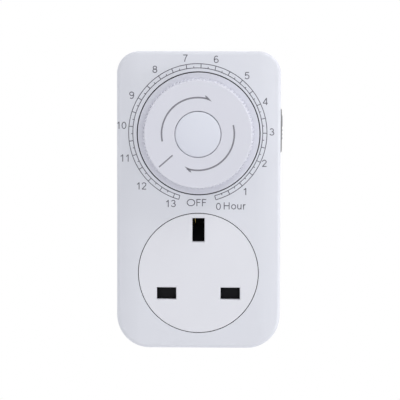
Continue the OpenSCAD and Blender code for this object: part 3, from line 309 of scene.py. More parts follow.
def tone_drift():
    """A colour that drifts a little lighter and darker over a moulding."""
    return group(
        "Tone drift", {"Colour": "Color", "Amount": 0.03, "Scale": 26.0}, {"Colour": "Color"},
        {
            "place": part("ShaderNodeTexCoord"),
            "clouds": part("ShaderNodeTexNoise", {"Detail": 5.0, "Roughness": 0.62, "Distortion": 0.4}),
            "centred": part("ShaderNodeMath", {1: 0.5}, operation="SUBTRACT"),
            "scaled": part("ShaderNodeMath", operation="MULTIPLY"),
            "value": part("ShaderNodeMath", {1: 1.0}, operation="ADD"),
            "tint": part("ShaderNodeHueSaturation", {"Fac": 1.0}),
        },
        """place.Object > clouds.Vector
        in.Scale > clouds.Scale
        clouds.Fac > centred.0
        centred.0 > scaled.0
        in.Amount > scaled.1
        scaled.0 > value.0
        value.0 > tint.Value
        in.Colour > tint.Color
        tint.Color > out.Colour""",
    )


def metal_streaks():
    """Fine drawn lines along one direction, with a few deeper scratches: Height and Mask."""
    return group(
        "Metal streaks", {"Stretch": (900.0, 60.0, 900.0), "Scratches": 0.3}, {"Height": "Float", "Mask": "Float"},
        {
            "place": part("ShaderNodeTexCoord"),
            "stretch": part("ShaderNodeVectorMath", operation="MULTIPLY"),
            "lines": part("ShaderNodeTexNoise", {"Scale": 1.0, "Detail": 4.0, "Roughness": 0.65}),
            "coarse": part("ShaderNodeTexNoise", {"Scale": 0.23, "Detail": 2.0, "Roughness": 0.5}),
            "cut": part("ShaderNodeMapRange", {"From Min": 0.62, "From Max": 0.7}),
            "depth": part("ShaderNodeMath", operation="MULTIPLY"),
            "height": part("ShaderNodeMath", operation="SUBTRACT"),
        },
        """place.Object > stretch.0
        in.Stretch > stretch.1
        stretch.Vector > lines.Vector, coarse.Vector
        coarse.Fac > cut.Value
        cut.Result > depth.0
        in.Scratches > depth.1
        lines.Fac > height.0, out.Mask
        depth.0 > height.1
        height.0 > out.Height""",
    )


def seam_shade():
    """Where a round seam goes down behind the front face: 1 from 0.1 to 3.1 mm behind it, 0 elsewhere."""
    return group(
        "Seam shade", {"Centre": (0.0, 0.0, 0.0), "Radius": 20.0 * MM, "Reach": 0.6 * MM}, {"Mask": "Float"},
        {
            "place": part("ShaderNodeTexCoord"),
            "offset": part("ShaderNodeVectorMath", operation="SUBTRACT"),
            "across": part("ShaderNodeVectorMath", {1: (1.0, 0.0, 1.0)}, operation="MULTIPLY"),
            "radius": part("ShaderNodeVectorMath", operation="LENGTH"),
            "ring": part("ShaderNodeMath", operation="COMPARE"),
            "axes": part("ShaderNodeSeparateXYZ"),
            "depth": part("ShaderNodeMath", {1: 1.6 * MM, 2: 1.5 * MM}, operation="COMPARE"),
            "mask": part("ShaderNodeMath", operation="MULTIPLY"),
        },
        """place.Object > offset.0
        in.Centre > offset.1
        offset.Vector > across.0, axes.Vector
        across.Vector > radius.0
        radius.Value > ring.0
        in.Radius > ring.1
        in.Reach > ring.2
        axes.Y > depth.0
        ring.0 > mask.0
        depth.0 > mask.1
        mask.0 > out.Mask""",
    )


def geometry_tree(name, inputs, parts, links):
    """A Geometry Nodes tree whose result, at end, is made real and given the Finish."""
    return group(
        name, {"Geometry": "Geometry", **inputs, "Finish": "Material"}, {"Geometry": "Geometry"},
        {**parts, "end": part("GeometryNodeRealizeInstances"), "coat": part("GeometryNodeSetMaterial")},
        links + """
        end.0 > coat.Geometry
        in.Finish > coat.Material
        coat.0 > out.Geometry""",
        "GeometryNodeTree",
    )


def radial_array():
    """Sets copies of the input geometry round an axis along Y."""
    return geometry_tree(
        "Radial array", {"Count": 12, "First angle": 0.0, "Step angle": 0.5, "Centre": (0.0, 0.0, 0.0)},
        {
            "points": part("GeometryNodePoints"),
            "index": part("GeometryNodeInputIndex"),
            "turn": part("ShaderNodeMath", operation="MULTIPLY_ADD"),
            "spin": part("FunctionNodeAxisAngleToRotation", {"Axis": (0.0, -1.0, 0.0)}),
            "copies": part("GeometryNodeInstanceOnPoints"),
        },
        """in.Count > points.Count
        in.Centre > points.Position
        index.0 > turn.0
        in.Step angle > turn.1
        in.First angle > turn.2
        turn.0 > spin.Angle
        points.0 > copies.Points
        in.Geometry > copies.Instance
        spin.0 > copies.Rotation
        copies.0 > end.0""",
    )


def printed_line():
    """Gives flat paths a printed line's width and thickness, and stands them on the front."""
    return geometry_tree(
        "Printed line", {"Width": 0.2 * MM, "Thickness": 0.02 * MM, "Level": 0.0},
        {
            "path": part("GeometryNodeMeshToCurve"),
            "upright": part("GeometryNodeSetCurveNormal", mode="Z_UP"),
            "section": part("GeometryNodeCurvePrimitiveQuadrilateral"),
            "line": part("GeometryNodeCurveToMesh", {"Fill Caps": True}),
            "offset": part("ShaderNodeCombineXYZ"),
            "stand": part("GeometryNodeTransform", {"Rotation": (math.pi / 2, 0.0, 0.0)}),
        },
        """in.Geometry > path.0
        path.0 > upright.0
        in.Width > section.Width
        in.Thickness > section.Height
        upright.0 > line.Curve
        section.0 > line.Profile Curve
        in.Level > offset.Y
        line.0 > stand.Geometry
        offset.0 > stand.Translation
        stand.0 > end.0""",
    )


def coil():
    """Winds a round wire in a helix upwards from the foot."""
    return geometry_tree(
        "Coil", {
            "Radius": 1.2 * MM, "Wire radius": 0.25 * MM, "Height": 9.0 * MM, "Turns": 6.0, "Foot": (0.0, 0.0, 0.0),
        },
        {
            "helix": part("GeometryNodeCurveSpiral", {"Resolution": 24}),
            "section": part("GeometryNodeCurvePrimitiveCircle", {"Resolution": 12}),
            "wound": part("GeometryNodeCurveToMesh", {"Fill Caps": True}),
            "stand": part("GeometryNodeTransform"),
        },
        """in.Radius > helix.Start Radius, helix.End Radius
        in.Height > helix.Height
        in.Turns > helix.Rotations
        in.Wire radius > section.Radius
        helix.0 > wound.Curve
        section.0 > wound.Profile Curve
        wound.0 > stand.Geometry
        in.Foot > stand.Translation
        stand.0 > end.0""",
    )


def set_out():
    """Sets a copy of one item on every point of the input geometry."""
    return geometry_tree(
        "Set out", {"Item": "Object", "Turn": 0.6},
        {
            "item": part("GeometryNodeObjectInfo"),
            "index": part("GeometryNodeInputIndex"),
            "turn": part("ShaderNodeMath", operation="MULTIPLY"),
            "spin": part("FunctionNodeAxisAngleToRotation", {"Axis": (0.0, 1.0, 0.0)}),
            "copies": part("GeometryNodeInstanceOnPoints"),
        },
        """in.Item > item.0
        index.0 > turn.0
        in.Turn > turn.1
        turn.0 > spin.Angle
        in.Geometry > copies.Points
        item.Geometry > copies.Instance
        spin.0 > copies.Rotation
        copies.0 > end.0""",
    )


TREES = {
    "Mould grain": mould_grain, "Tone drift": tone_drift, "Metal streaks": metal_streaks, "Seam shade": seam_shade,
    "Radial array": radial_array, "Printed line": printed_line, "Coil": coil, "Set out": set_out,
}


def shared_tree(name):
    """A node tree of this file, built on first use."""
    return bpy.data.node_groups.get(name) or TREES[name]()


# ------------------------------------------------------------------ finishes


def placed(name, values):
    """A shared shader group as a part."""
    return part("ShaderNodeGroup", values, node_tree=shared_tree(name))


def tinted(colour_value, drift, scale):
    """A colour that drifts over the surface, as a part."""
    return placed("Tone drift", {"Colour": (*colour_value, 1.0), "Amount": drift, "Scale": scale})


def surface(name, constants):
    """A material and its first nodes; constants go straight on the shader's sockets."""
    material = bpy.data.materials.new(name)
    material.use_nodes = True
    shader = feed(material.node_tree.nodes["Principled BSDF"], constants)
    return material, {"shader": shader, "surface": material.node_tree.nodes["Material Output"]}


def coated(name, constants, tone, texture, rough, bump, seams=()):
    """A material whose tone drifts, and whose roughness and fine relief come from a shared texture.

    tone is colour, amount and scale, texture a group and its values, rough the lowest and the highest roughness,
    bump a strength and a depth, and seams the centre and radius of each round seam, in which painted shade darkens the
    colour.
    """
    material, nodes = surface(name, constants)
    parts = {
        "tone": tinted(*tone),
        "texture": placed(*texture),
        "spread": part("ShaderNodeMapRange", {
            "From Min": 0.3, "From Max": 0.7, "To Min": rough[0], "To Max": rough[1],
        }),
        "bump": part("ShaderNodeBump", {"Strength": bump[0], "Distance": bump[1]}),
    }
    links = """texture.Mask > spread.Value
        spread.Result > shader.Roughness
        texture.Height > bump.Height
        bump.Normal > shader.Normal
        """
    # Inside each round seam the tone is mixed towards the seams' colour, as painted shade in the gap
    shown, painted_shade = "tone.Colour", (*bpy.context.scene.timer_case.seam, 1.0)
    for i, (centre, radius) in enumerate(seams):
        parts[f"shade{i}"] = placed("Seam shade", {"Centre": centre, "Radius": radius, "Reach": 0.6 * MM})
        parts[f"dusty{i}"] = part("ShaderNodeMix", {7: painted_shade}, data_type="RGBA")
        links += f"""shade{i}.Mask > dusty{i}.0
        {shown} > dusty{i}.6
        """
        shown = f"dusty{i}.2"
    wired(material.node_tree, nodes, parts, links + f"{shown} > shader.Base Color")
    return material


def moulded(colour_value, rough, grain, drift, scale=2600.0, gloss=0.45, seams=()):
    """Injection-moulded plastic."""
    return (
        {"Specular IOR Level": gloss, "IOR": 1.5}, (colour_value, drift, 26.0), ("Mould grain", {"Scale": scale}),
        (rough - 0.05, rough + 0.05), (grain, 0.03 * MM), seams,
    )


def plated(colour_value, rough, stretch, scratches=0.3, drift=0.06):
    """Plated, drawn or rolled metal."""
    return (
        {"Metallic": 1.0}, (colour_value, drift, 120.0),
        ("Metal streaks", {"Stretch": stretch, "Scratches": scratches}),
        (rough - 0.06, rough + 0.08), (0.2, 0.01 * MM),
    )


def printed(colour_value):
    """Pad-printed ink: matt, with a slightly uneven film."""
    return (
        {"Specular IOR Level": 0.3}, (colour_value, 0.16, 900.0), ("Mould grain", {"Scale": 3400.0, "Pits": 0.2}),
        (0.5, 0.66), (0.2, 0.01 * MM),
    )


def finish(slot):
    """The finish of a material slot, built on first use from the settings."""
    scene = bpy.context.scene
    case, dial, ink, metal = scene.timer_case, scene.timer_dial, scene.timer_print, scene.timer_metal
    along_x, along_y, along_z = (60.0, 900.0, 900.0), (900.0, 60.0, 900.0), (900.0, 900.0, 60.0)
    dial_seam = ((DIAL.x, FACE_Y, DIAL.z), SKIRT_R)
    outlet_seam = ((OUTLET.x, FACE_Y, OUTLET.z), OUTLET_R)
    recipes = {
        "case_plastic": moulded(case.body, case.gloss, case.grain, case.drift, seams=(dial_seam, outlet_seam)),
        "outlet_plastic": moulded(
            case.outlet, case.gloss - 0.04, case.grain * 0.6, case.drift, 3200.0, seams=(outlet_seam,),
        ),
        "dial_plastic": moulded(dial.body, 0.44, 0.22, case.drift, 3000.0, seams=(dial_seam,)),
        "cap_plastic": moulded(dial.cap, 0.34, 0.08, 0.02, 3600.0),
        "slide_grey": moulded(srgb(130, 130, 128), 0.5, 0.3, 0.04, 2400.0, 0.35),
        "slider_plastic": moulded(srgb(206, 207, 212), 0.42, 0.25, 0.03),
        "black_plastic": moulded(metal.black, 0.5, 0.3, 0.12, 2200.0, 0.12),
        "acetal_white": moulded(srgb(240, 240, 236), 0.36, 0.1, 0.02, 1800.0),
        "cream_plastic": moulded(srgb(232, 226, 206), 0.46, 0.2, 0.04, 2000.0),
        "wire_insulation": moulded(srgb(120, 72, 40), 0.48, 0.15, 0.06, 1600.0, 0.35),
        "ink_grey": printed(ink.ink),
        "arrow_grey": printed(ink.arrow_ink),
        "nickel_plate": plated(metal.nickel, 0.2, along_y),
        "zinc_steel": plated(metal.zinc, 0.36, along_x, 0.15),
        "spring_steel": plated(srgb(178, 180, 186), 0.3, along_z, 0.2),
        "contact_brass": plated(metal.brass, 0.28, along_y, 0.25, 0.1),
        "contact_silver": plated(srgb(226, 226, 224), 0.26, along_x, 0.1),
    }
    name = "timer " + slot.replace("_", " ")
    return bpy.data.materials.get(name) or coated(name, *recipes[slot])


# ------------------------------------------------------------------ mesh helpers


def new_piece(name, mesh, body, material, nodes=()):
    """Puts a finished mesh in the scene as a piece of the object."""
    mesh.name = name
    piece = bpy.data.objects.new(name, mesh)
    bpy.context.scene.collection.objects.link(piece)
    mesh.materials.clear()
    mesh.materials.append(finish(material))
    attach(piece, body)
    if nodes:
        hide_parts(*nodes)
    return piece


def evened(piece, keep_sharp=False):
    """Evens out a piece's shading with normals weighted by face."""
    weighted = piece.modifiers.new("Even shading", "WEIGHTED_NORMAL")
    weighted.keep_sharp = keep_sharp
    weighted.weight = 60
    return piece


def smoothed(mesh):
    mesh.polygons.foreach_set("use_smooth", [True] * len(mesh.polygons))
    return mesh


def mesh_of(shape, name):
    mesh = bpy.data.meshes.new(name)
    shape.to_mesh(mesh)
    shape.free()
    return mesh


def body_of_node(name):
    bodies = frame["record"]["behaviour"]["bodies"]
    return next(body for body, members in bodies.items() if name in members)


def slot_of_node(name):
    return next(item["material_slot"] for item in frame["record"]["subparts"] if item["node"] == name)


def clamped(value):
    return max(0.0, min(1.0, value))


def on_circle(centre, radius, turn):
    """The X and Z of a point on a circle round the axis through centre along Y."""
    return centre.x + radius * math.cos(turn), centre.z + radius * math.sin(turn)


def crown_fall(x, crown, flat):
    """How far a crowned front lies back at x."""
    return crown * (max(0.0, abs(x) - flat) / (CASE_HALF_W - flat)) ** 2


def crowned(shape, crown, flat, strips=10):
    """Lets the front fall back towards its two sides; what lies deeper than the front wall keeps its place."""
    for side in (-1, 1):
        for i in range(strips):
            bmesh.ops.bisect_plane(
                shape, geom=[*shape.verts, *shape.edges, *shape.faces], dist=1e-7,
                plane_co=(side * (flat + (CASE_HALF_W - flat) * i / strips), 0.0, 0.0), plane_no=(1.0, 0.0, 0.0),
            )
    for vertex in shape.verts:
        depth = (vertex.co.y - FACE_Y - FRONT_WALL) / CROWN_FADE
        vertex.co.y += crown_fall(vertex.co.x, crown, flat) * clamped(1.0 - depth)


def lowered(shape, share):
    """Brings what stands out of the case's right side down to a share of its height."""
    for vertex in shape.verts:
        if vertex.co.x > CASE_HALF_W:
            vertex.co.x = CASE_HALF_W + (vertex.co.x - CASE_HALF_W) * share


def eased(name, cad_node, radius, segments=2, form=None):
    """A welded copy of a CAD node, formed if form is given and with its edges eased, which stands for the node."""
    shape = bmesh.new()
    shape.from_mesh(frame["nodes"][cad_node].data)
    bmesh.ops.remove_doubles(shape, verts=shape.verts, dist=2e-6)
    if form:
        form(shape)
    bmesh.ops.dissolve_limit(
        shape, angle_limit=math.radians(0.25), verts=shape.verts, edges=shape.edges, use_dissolve_boundaries=False,
    )
    slot = slot_of_node(cad_node)
    piece = new_piece(name, smoothed(mesh_of(shape, name)), body_of_node(cad_node), slot, [cad_node])
    bevel = piece.modifiers.new("Eased edges", "BEVEL")
    bevel.width = radius
    bevel.segments = segments
    bevel.limit_method = "ANGLE"
    bevel.angle_limit = math.radians(32.0)
    bevel.use_clamp_overlap = False
    bevel.harden_normals = True
    bevel.miter_outer = "MITER_ARC"
    return evened(piece, keep_sharp=True)


def ring(shape, centre, radius, steps, height):
    """The corners of a ring round an axis along Y, or its one point on the axis; height gives Y for an X and Z."""
    count = steps if radius > 1e-9 else 1
    places = [on_circle(centre, radius, math.tau * i / steps) for i in range(count)]
    return [shape.verts.new((x, height(x, z), z)) for x, z in places]


def skinned(shape, rings):
    """Closes a solid with faces between its rings, which start and end on the axis."""
    for low, high in zip(rings, rings[1:]):
        steps = max(len(low), len(high))
        for i in range(steps):
            j = (i + 1) % steps
            if len(low) == 1:
                shape.faces.new((low[0], high[j], high[i]))
            elif len(high) == 1:
                shape.faces.new((low[i], low[j], high[0]))
            else:
                shape.faces.new((low[i], low[j], high[j], high[i]))
    bmesh.ops.recalc_face_normals(shape, faces=shape.faces)
    return shape


def turned(profile, centre, steps):
    """A closed solid turned about the axis through centre along Y.

    The profile is a list of (radius, y) from the axis at the back to the axis at the front.
    """
    shape = bmesh.new()
    return skinned(shape, [ring(shape, centre, radius, steps, lambda x, z: y) for radius, y in profile])


def rounded(corner_from, corner, corner_to, radius, steps=4):
    """Points of a small radius that eases a corner of a profile."""
    p, a, b = Vector(corner), Vector(corner_from), Vector(corner_to)
    to_a, to_b = (a - p).normalized(), (b - p).normalized()
    half = to_a.angle(to_b) / 2
    reach = min(radius / math.tan(half), (a - p).length * 0.49, (b - p).length * 0.49)
    radius = reach * math.tan(half)
    centre = p + (to_a + to_b).normalized() * math.hypot(reach, radius)
    start, end = p + to_a * reach - centre, p + to_b * reach - centre
    turn = start.angle_signed(end)
    return [tuple(centre + Matrix.Rotation(-turn * i / steps, 2) @ start) for i in range(steps + 1)]


def eased_profile(points, radii, steps):
    """A profile whose corners are rounded: radii gives the radius of each inner corner, or 0."""
    out = [points[0]]
    for i in range(1, len(points) - 1):
        out += rounded(points[i - 1], points[i], points[i + 1], radii[i], steps) if radii[i] else [points[i]]
    return out + [points[-1]]


def grown(mesh, tree_name, values, name):
    """The plain mesh that a Geometry Nodes tree makes from mesh, with the tree's inputs set by their identifiers."""
    tree = shared_tree(tree_name)
    holder = bpy.data.objects.new(name + "_source", mesh)
    bpy.context.scene.collection.objects.link(holder)
    modifier = holder.modifiers.new(tree_name, "NODES")
    modifier.node_group = tree
    keys = {item.name: item.identifier for item in tree.interface.items_tree if item.in_out == "INPUT"}
    for label, value in values.items():
        modifier[keys[label]] = value
    evaluated = holder.evaluated_get(bpy.context.evaluated_depsgraph_get())
    made = bpy.data.meshes.new_from_object(evaluated)
    holder.modifiers.clear()
    bpy.data.objects.remove(holder)
    bpy.data.meshes.remove(mesh)
    if not made.polygons:
        raise RuntimeError(f"{tree_name} made no faces for {name}")
    return made


def points_mesh(places, name, edges=()):
    """A mesh of points, with edges between them where they are given."""
    mesh = bpy.data.meshes.new(name)
    mesh.from_pydata(places, edges, [])
    return mesh


def paths_mesh(paths, name):
    """Open or closed paths in the XY plane as a mesh of edges; each path is (points, closed)."""
    verts, edges = [], []
    for points, closed in paths:
        first = len(verts)
        verts += [(x, y, 0.0) for x, y in points]
        edges += [(first + i, first + i + 1) for i in range(len(points) - 1)]
        if closed:
            edges.append((len(verts) - 1, first))
    return points_mesh(verts, name, edges)


def joined(meshes, name):
    """Several meshes as one."""
    shape = bmesh.new()
    for mesh in meshes:
        shape.from_mesh(mesh)
    out = mesh_of(shape, name)
    for mesh in meshes:
        bpy.data.meshes.remove(mesh)
    return out


# ------------------------------------------------------------------ printed figures


def oval(x, y, rx, ry, start=0.0, end=360.0, steps=20):
    """An upright oval, or the part of it between two angles in degrees."""
    count = max(4, round(steps * abs(end - start) / 360))
    closed = abs(end - start) >= 360
    turns = [math.radians(start + (end - start) * i / count) for i in range(count if closed else count + 1)]
    return [(x + rx * math.cos(turn), y + ry * math.sin(turn)) for turn in turns], closed


def stroke(*points):
    return list(points), False


# Each figure's step to the next one and its strokes, in shares of the figures' height
DIGIT = 0.777
SIX = [oval(0.395, 0.30, 0.275, 0.25), (oval(0.42, 0.52, 0.31, 0.43, 52, 200)[0], False)]
FIGURES = {
    "0": (DIGIT, [oval(0.387, 0.5, 0.28, 0.445)]),
    "1": (DIGIT, [stroke((0.17, 0.72), (0.33, 0.81), (0.45, 0.96)), stroke((0.459, 1.0), (0.459, 0.0))]),
    "2": (DIGIT, [
        (oval(0.375, 0.70, 0.265, 0.245, 172, -35)[0] + [(0.115, 0.07)], False), stroke((0.07, 0.055), (0.68, 0.055)),
    ]),
    "3": (DIGIT, [oval(0.375, 0.735, 0.245, 0.21, 160, -90), oval(0.385, 0.29, 0.285, 0.235, 90, -165)]),
    "4": (DIGIT, [
        stroke((0.53, 1.0), (0.53, 0.0)), stroke((0.52, 0.97), (0.07, 0.29)), stroke((0.03, 0.26), (0.7, 0.26)),
    ]),
    "5": (DIGIT, [
        stroke((0.66, 0.945), (0.21, 0.945)), stroke((0.215, 0.97), (0.135, 0.48)),
        oval(0.375, 0.33, 0.29, 0.28, 143, -157),
    ]),
    "6": (DIGIT, SIX),
    "7": (DIGIT, [
        stroke((0.09, 0.945), (0.7, 0.945)), stroke((0.68, 0.94), (0.52, 0.71), (0.4, 0.44), (0.33, 0.2), (0.31, 0.0)),
    ]),
    "8": (DIGIT, [oval(0.387, 0.735, 0.235, 0.21), oval(0.387, 0.29, 0.28, 0.235)]),
    "9": (DIGIT, [([(0.785 - x, 1.0 - y) for x, y in points], closed) for points, closed in SIX]),
    "O": (1.33, [oval(0.6, 0.5, 0.53, 0.445, steps=28)]),
    "F": (0.78, [
        stroke((0.1, 0.0), (0.1, 1.0)), stroke((0.1, 0.945), (0.64, 0.945)), stroke((0.1, 0.52), (0.56, 0.52)),
    ]),
    "H": (1.04, [stroke((0.1, 0.0), (0.1, 1.0)), stroke((0.8, 0.0), (0.8, 1.0)), stroke((0.1, 0.52), (0.8, 0.52))]),
    "o": (0.85, [oval(0.39, 0.365, 0.29, 0.31)]),
    "u": (0.82, [
        ([(0.11, 0.72), (0.11, 0.3)] + oval(0.33, 0.27, 0.22, 0.215, 190, 350)[0], False),
        stroke((0.58, 0.72), (0.58, 0.0)),
    ]),
    "r": (0.48, [stroke((0.1, 0.72), (0.1, 0.0)), oval(0.34, 0.42, 0.24, 0.255, 180, 80)]),
}
# What is printed round the dial, with the middle of each word, in millimetres
WORDS = [
    ("1", 16.10, 3.18), ("2", 22.85, 13.01), ("3", 25.41, 23.90), ("4", 23.10, 34.46), ("5", 16.73, 43.40),
    ("6", 6.05, 49.00), ("7", -4.67, 49.36), ("8", -15.20, 45.49), ("9", -23.27, 36.50), ("10", -26.85, 26.02),
    ("11", -25.82, 14.66), ("12", -19.80, 4.97), ("13", -9.64, -1.12), ("OFF", -0.60, -0.77), ("0", 6.97, -2.05),
    ("Hour", 12.67, -1.85),
]


def word_paths(word, x, z, height):
    """The strokes of a word whose ink is centred on (x, z)."""
    paths, reach = [], 0.0
    for letter in word:
        step, strokes = FIGURES[letter]
        paths += [([(px + reach, py) for px, py in points], closed) for points, closed in strokes]
        reach += step
    across = [px for points, _ in paths for px, _ in points]
    middle = (min(across) + max(across)) / 2
    return [
        ([(x + (px - middle) * height, z + (py - 0.5) * height) for px, py in points], closed)
        for points, closed in paths
    ]


def arc_path(centre, radius, start, end, per_turn=240):
    count = max(2, round(per_turn * abs(end - start) / math.tau))
    return [on_circle(centre, radius, start + (end - start) * i / count) for i in range(count + 1)], False


def divided(paths, step):
    """Paths with points at most a step apart, so that they can follow a curved surface."""
    out = []
    for points, closed in paths:
        ends = points + points[:1] if closed else points
        fine = []
        for a, b in zip(ends, ends[1:]):
            count = max(1, math.ceil(math.dist(a, b) / step))
            fine += [(a[0] + (b[0] - a[0]) * i / count, a[1] + (b[1] - a[1]) * i / count) for i in range(count)]
        out.append((fine if closed else fine + [ends[-1]], closed))
    return out


def lay_on_case(mesh, case, edge_radius):
    """Moves a print back where the case's front falls away and where its edge curves."""
    start = CASE_HALF_W - edge_radius
    for vertex in mesh.vertices:
        vertex.co.y += crown_fall(vertex.co.x, case.crown, case.flat)
        over = min(abs(vertex.co.x) - start, edge_radius * 0.98)
        if over > 0:
            vertex.co.y += edge_radius - math.sqrt(edge_radius**2 - over**2)


# ------------------------------------------------------------------ operators


class TimerOperator:
    bl_options = {"REGISTER"}


class TIMER_OT_case(TimerOperator, bpy.types.Operator):
    """Ease and finish the two moulded covers."""

    bl_idname = "timer.case"
    bl_label = "Case"

    def execute(self, context):
        case = context.scene.timer_case
        eased("front_shell", "front_cover", case.edge, form=lambda shape: crowned(shape, case.crown, case.flat))
        eased("rear_shell", "rear_cover", case.edge)
        return {"FINISHED"}


class TIMER_OT_outlet(TimerOperator, bpy.types.Operator):
    """Ease and finish the outlet's face plate."""

    bl_idname = "timer.outlet"
    bl_label = "Outlet"

    def execute(self, context):
        eased("outlet_plate", "socket_face", context.scene.timer_case.edge)
        return {"FINISHED"}


class TIMER_OT_knob(TimerOperator, bpy.types.Operator):
    """Build the ribbed knob: a turned body and its ribs."""

    bl_idname = "timer.knob"
    bl_label = "Knob"

    def execute(self, context):
        dial = context.scene.timer_dial
        skirt_y = KNOB_Y + dial.grip_h
        back_y = skirt_y + dial.skirt_t
        core_base, core_front = dial.base_r - dial.rib_depth, dial.front_r - dial.rib_depth
        skirt_r, skirt_land = SKIRT_R - dial.skirt_groove, 0.3 * MM
        seat_r, seat_y = CAP_R + 0.1 * MM, CAP_HIGH.y
        corners = [
            ((0.0, back_y), 0), ((skirt_r - dial.skirt_relief, back_y), 0.2 * MM),
            ((skirt_r, skirt_y + skirt_land), 0), ((skirt_r, skirt_y), 0.1 * MM),
            ((core_base, skirt_y), 0.2 * MM), ((core_front, KNOB_Y), dial.rim),
            ((seat_r, KNOB_Y), 0.1 * MM), ((seat_r, seat_y), 0), ((0.0, seat_y), 0),
        ]
        profile = eased_profile(*zip(*corners), 5)
        mesh = smoothed(mesh_of(turned(profile, DIAL, 360), "knob"))
        evened(new_piece("knob", mesh, "dial", "dial_plastic", ["dial_knob"]))

        pitch = math.tau / dial.ribs
        ribs = grown(self.rib(dial, skirt_y, core_base, core_front, pitch), "Radial array", {
            "Count": dial.ribs, "First angle": 0.0, "Step angle": pitch, "Centre": DIAL,
            "Finish": finish("dial_plastic"),
        }, "knob_ribs")
        new_piece("knob_ribs", ribs, "dial", "dial_plastic")
        return {"FINISHED"}

    @staticmethod
    def rib(dial, skirt_y, core_base, core_front, pitch):
        """One rib on the +X side of the axis, with a rounded front end."""
        shape = bmesh.new()
        stations, across = 12, 6
        straight, end_from = 0.7, 0.93
        foot_sunk, short_of_face, root_sunk, end_sunk = 0.1 * MM, 0.15 * MM, 0.25 * MM, 0.45 * MM
        rows = []
        for i in range(stations + 1):
            share, tip = i / stations, 1 - straight
            along = share if share < straight else straight + tip * math.sin((share - straight) / tip * math.pi / 2)
            y = skirt_y + foot_sunk - (dial.grip_h - short_of_face) * along
            core = core_base + (core_front - core_base) * along
            end = max(0.0, (along - end_from) / (1 - end_from))
            rise = dial.rib_depth * math.sqrt(max(0.0, 1 - end**2))
            half = core * pitch * dial.rib_share / 2
            root, skin = core - root_sunk - end_sunk * end, core - end_sunk * end
            row = [(root, -half)]
            for turn in (math.pi * k / across for k in range(across + 1)):
                row.append((skin + rise * math.sin(turn) ** 0.7, -half * math.cos(turn)))
            row.append((root, half))
            rows.append([shape.verts.new((r, y, t)) for r, t in row])
        for low, high in zip(rows, rows[1:]):
            for k in range(len(low) - 1):
                shape.faces.new((low[k], high[k], high[k + 1], low[k + 1]))
            shape.faces.new((low[-1], high[-1], high[0], low[0]))
        shape.faces.new(rows[0])
        shape.faces.new(reversed(rows[-1]))
        bmesh.ops.recalc_face_normals(shape, faces=shape.faces)
        return smoothed(mesh_of(shape, "rib"))


class TIMER_OT_cap(TimerOperator, bpy.types.Operator):
    """Build the slightly crowned cap in the middle of the knob."""

    bl_idname = "timer.cap"
    bl_label = "Cap"

    def execute(self, context):
        rim, edge_drop, steps = 0.12 * MM, 0.02 * MM, 12
        cap_r = CAP_R - context.scene.timer_dial.cap_groove
        crown, edge_y = KNOB_Y - CAP_LOW.y + edge_drop, KNOB_Y + edge_drop
        turns = [math.pi / 2 * i / steps for i in range(1, steps)]
        dome = [(cap_r * math.cos(turn), edge_y - crown * math.sin(turn) ** 1.6) for turn in turns]
        foot, corner = (cap_r, CAP_HIGH.y), (cap_r, edge_y)
        profile = [(0.0, CAP_HIGH.y), foot, *rounded(foot, corner, dome[1], rim), *dome[1:], (0.0, CAP_LOW.y)]
        mesh = smoothed(mesh_of(turned(profile, DIAL, 240), "knob_cap"))
        evened(new_piece("knob_cap", mesh, "dial", "cap_plastic", ["dial_cap"]))
        return {"FINISHED"}


class TIMER_OT_scale(TimerOperator, bpy.types.Operator):
    """Print the hour scale: two rings, their ticks and the figures."""

    bl_idname = "timer.scale"
    bl_label = "Hour scale"

    def execute(self, context):
        ink, case = context.scene.timer_print, context.scene.timer_case
        line = {"Thickness": ink.thickness, "Level": FACE_Y - ink.thickness / 2, "Finish": finish("ink_grey")}
        end = ink.zero + ink.hour * ink.hours + ink.tail
        middle = DIAL + Vector((-ink.left, 0.0, ink.up))
        rings = [arc_path(middle, radius, ink.zero, end) for radius in (ink.inner_r, ink.outer_r)]
        close = ([points[-1] for points, _ in rings], False)
        parts = [grown(paths_mesh(rings + [close], "rings"), "Printed line", {**line, "Width": ink.ring_w}, "rings")]
        for label, reach, first, count in (
            ("half_hours", ink.outer_r - ink.inner_r, ink.zero, 2 * ink.hours + 1),
            ("quarter_hours", ink.short_tick, ink.zero + ink.hour / 4, 2 * ink.hours),
        ):
            path = stroke((ink.inner_r, 0.0), (ink.inner_r + reach, 0.0))
            tick = grown(paths_mesh([path], label), "Printed line", {**line, "Width": ink.tick_w}, label)
            parts.append(grown(tick, "Radial array", {
                "Count": count, "First angle": first, "Step angle": ink.hour / 2, "Centre": middle,
                "Finish": line["Finish"],
            }, label))

        words = [path for word, x, z in WORDS for path in word_paths(word, x * MM, z * MM, ink.cap_height)]
        strokes = paths_mesh(divided(words, 0.25 * MM), "figures")
        figures = grown(strokes, "Printed line", {**line, "Width": ink.stroke}, "figures")
        for name, mesh in (("scale_rings", joined(parts, "scale_rings")), ("scale_figures", figures)):
            lay_on_case(mesh, case, ink.edge_r)
            new_piece(name, mesh, "case", "ink_grey")
        return {"FINISHED"}


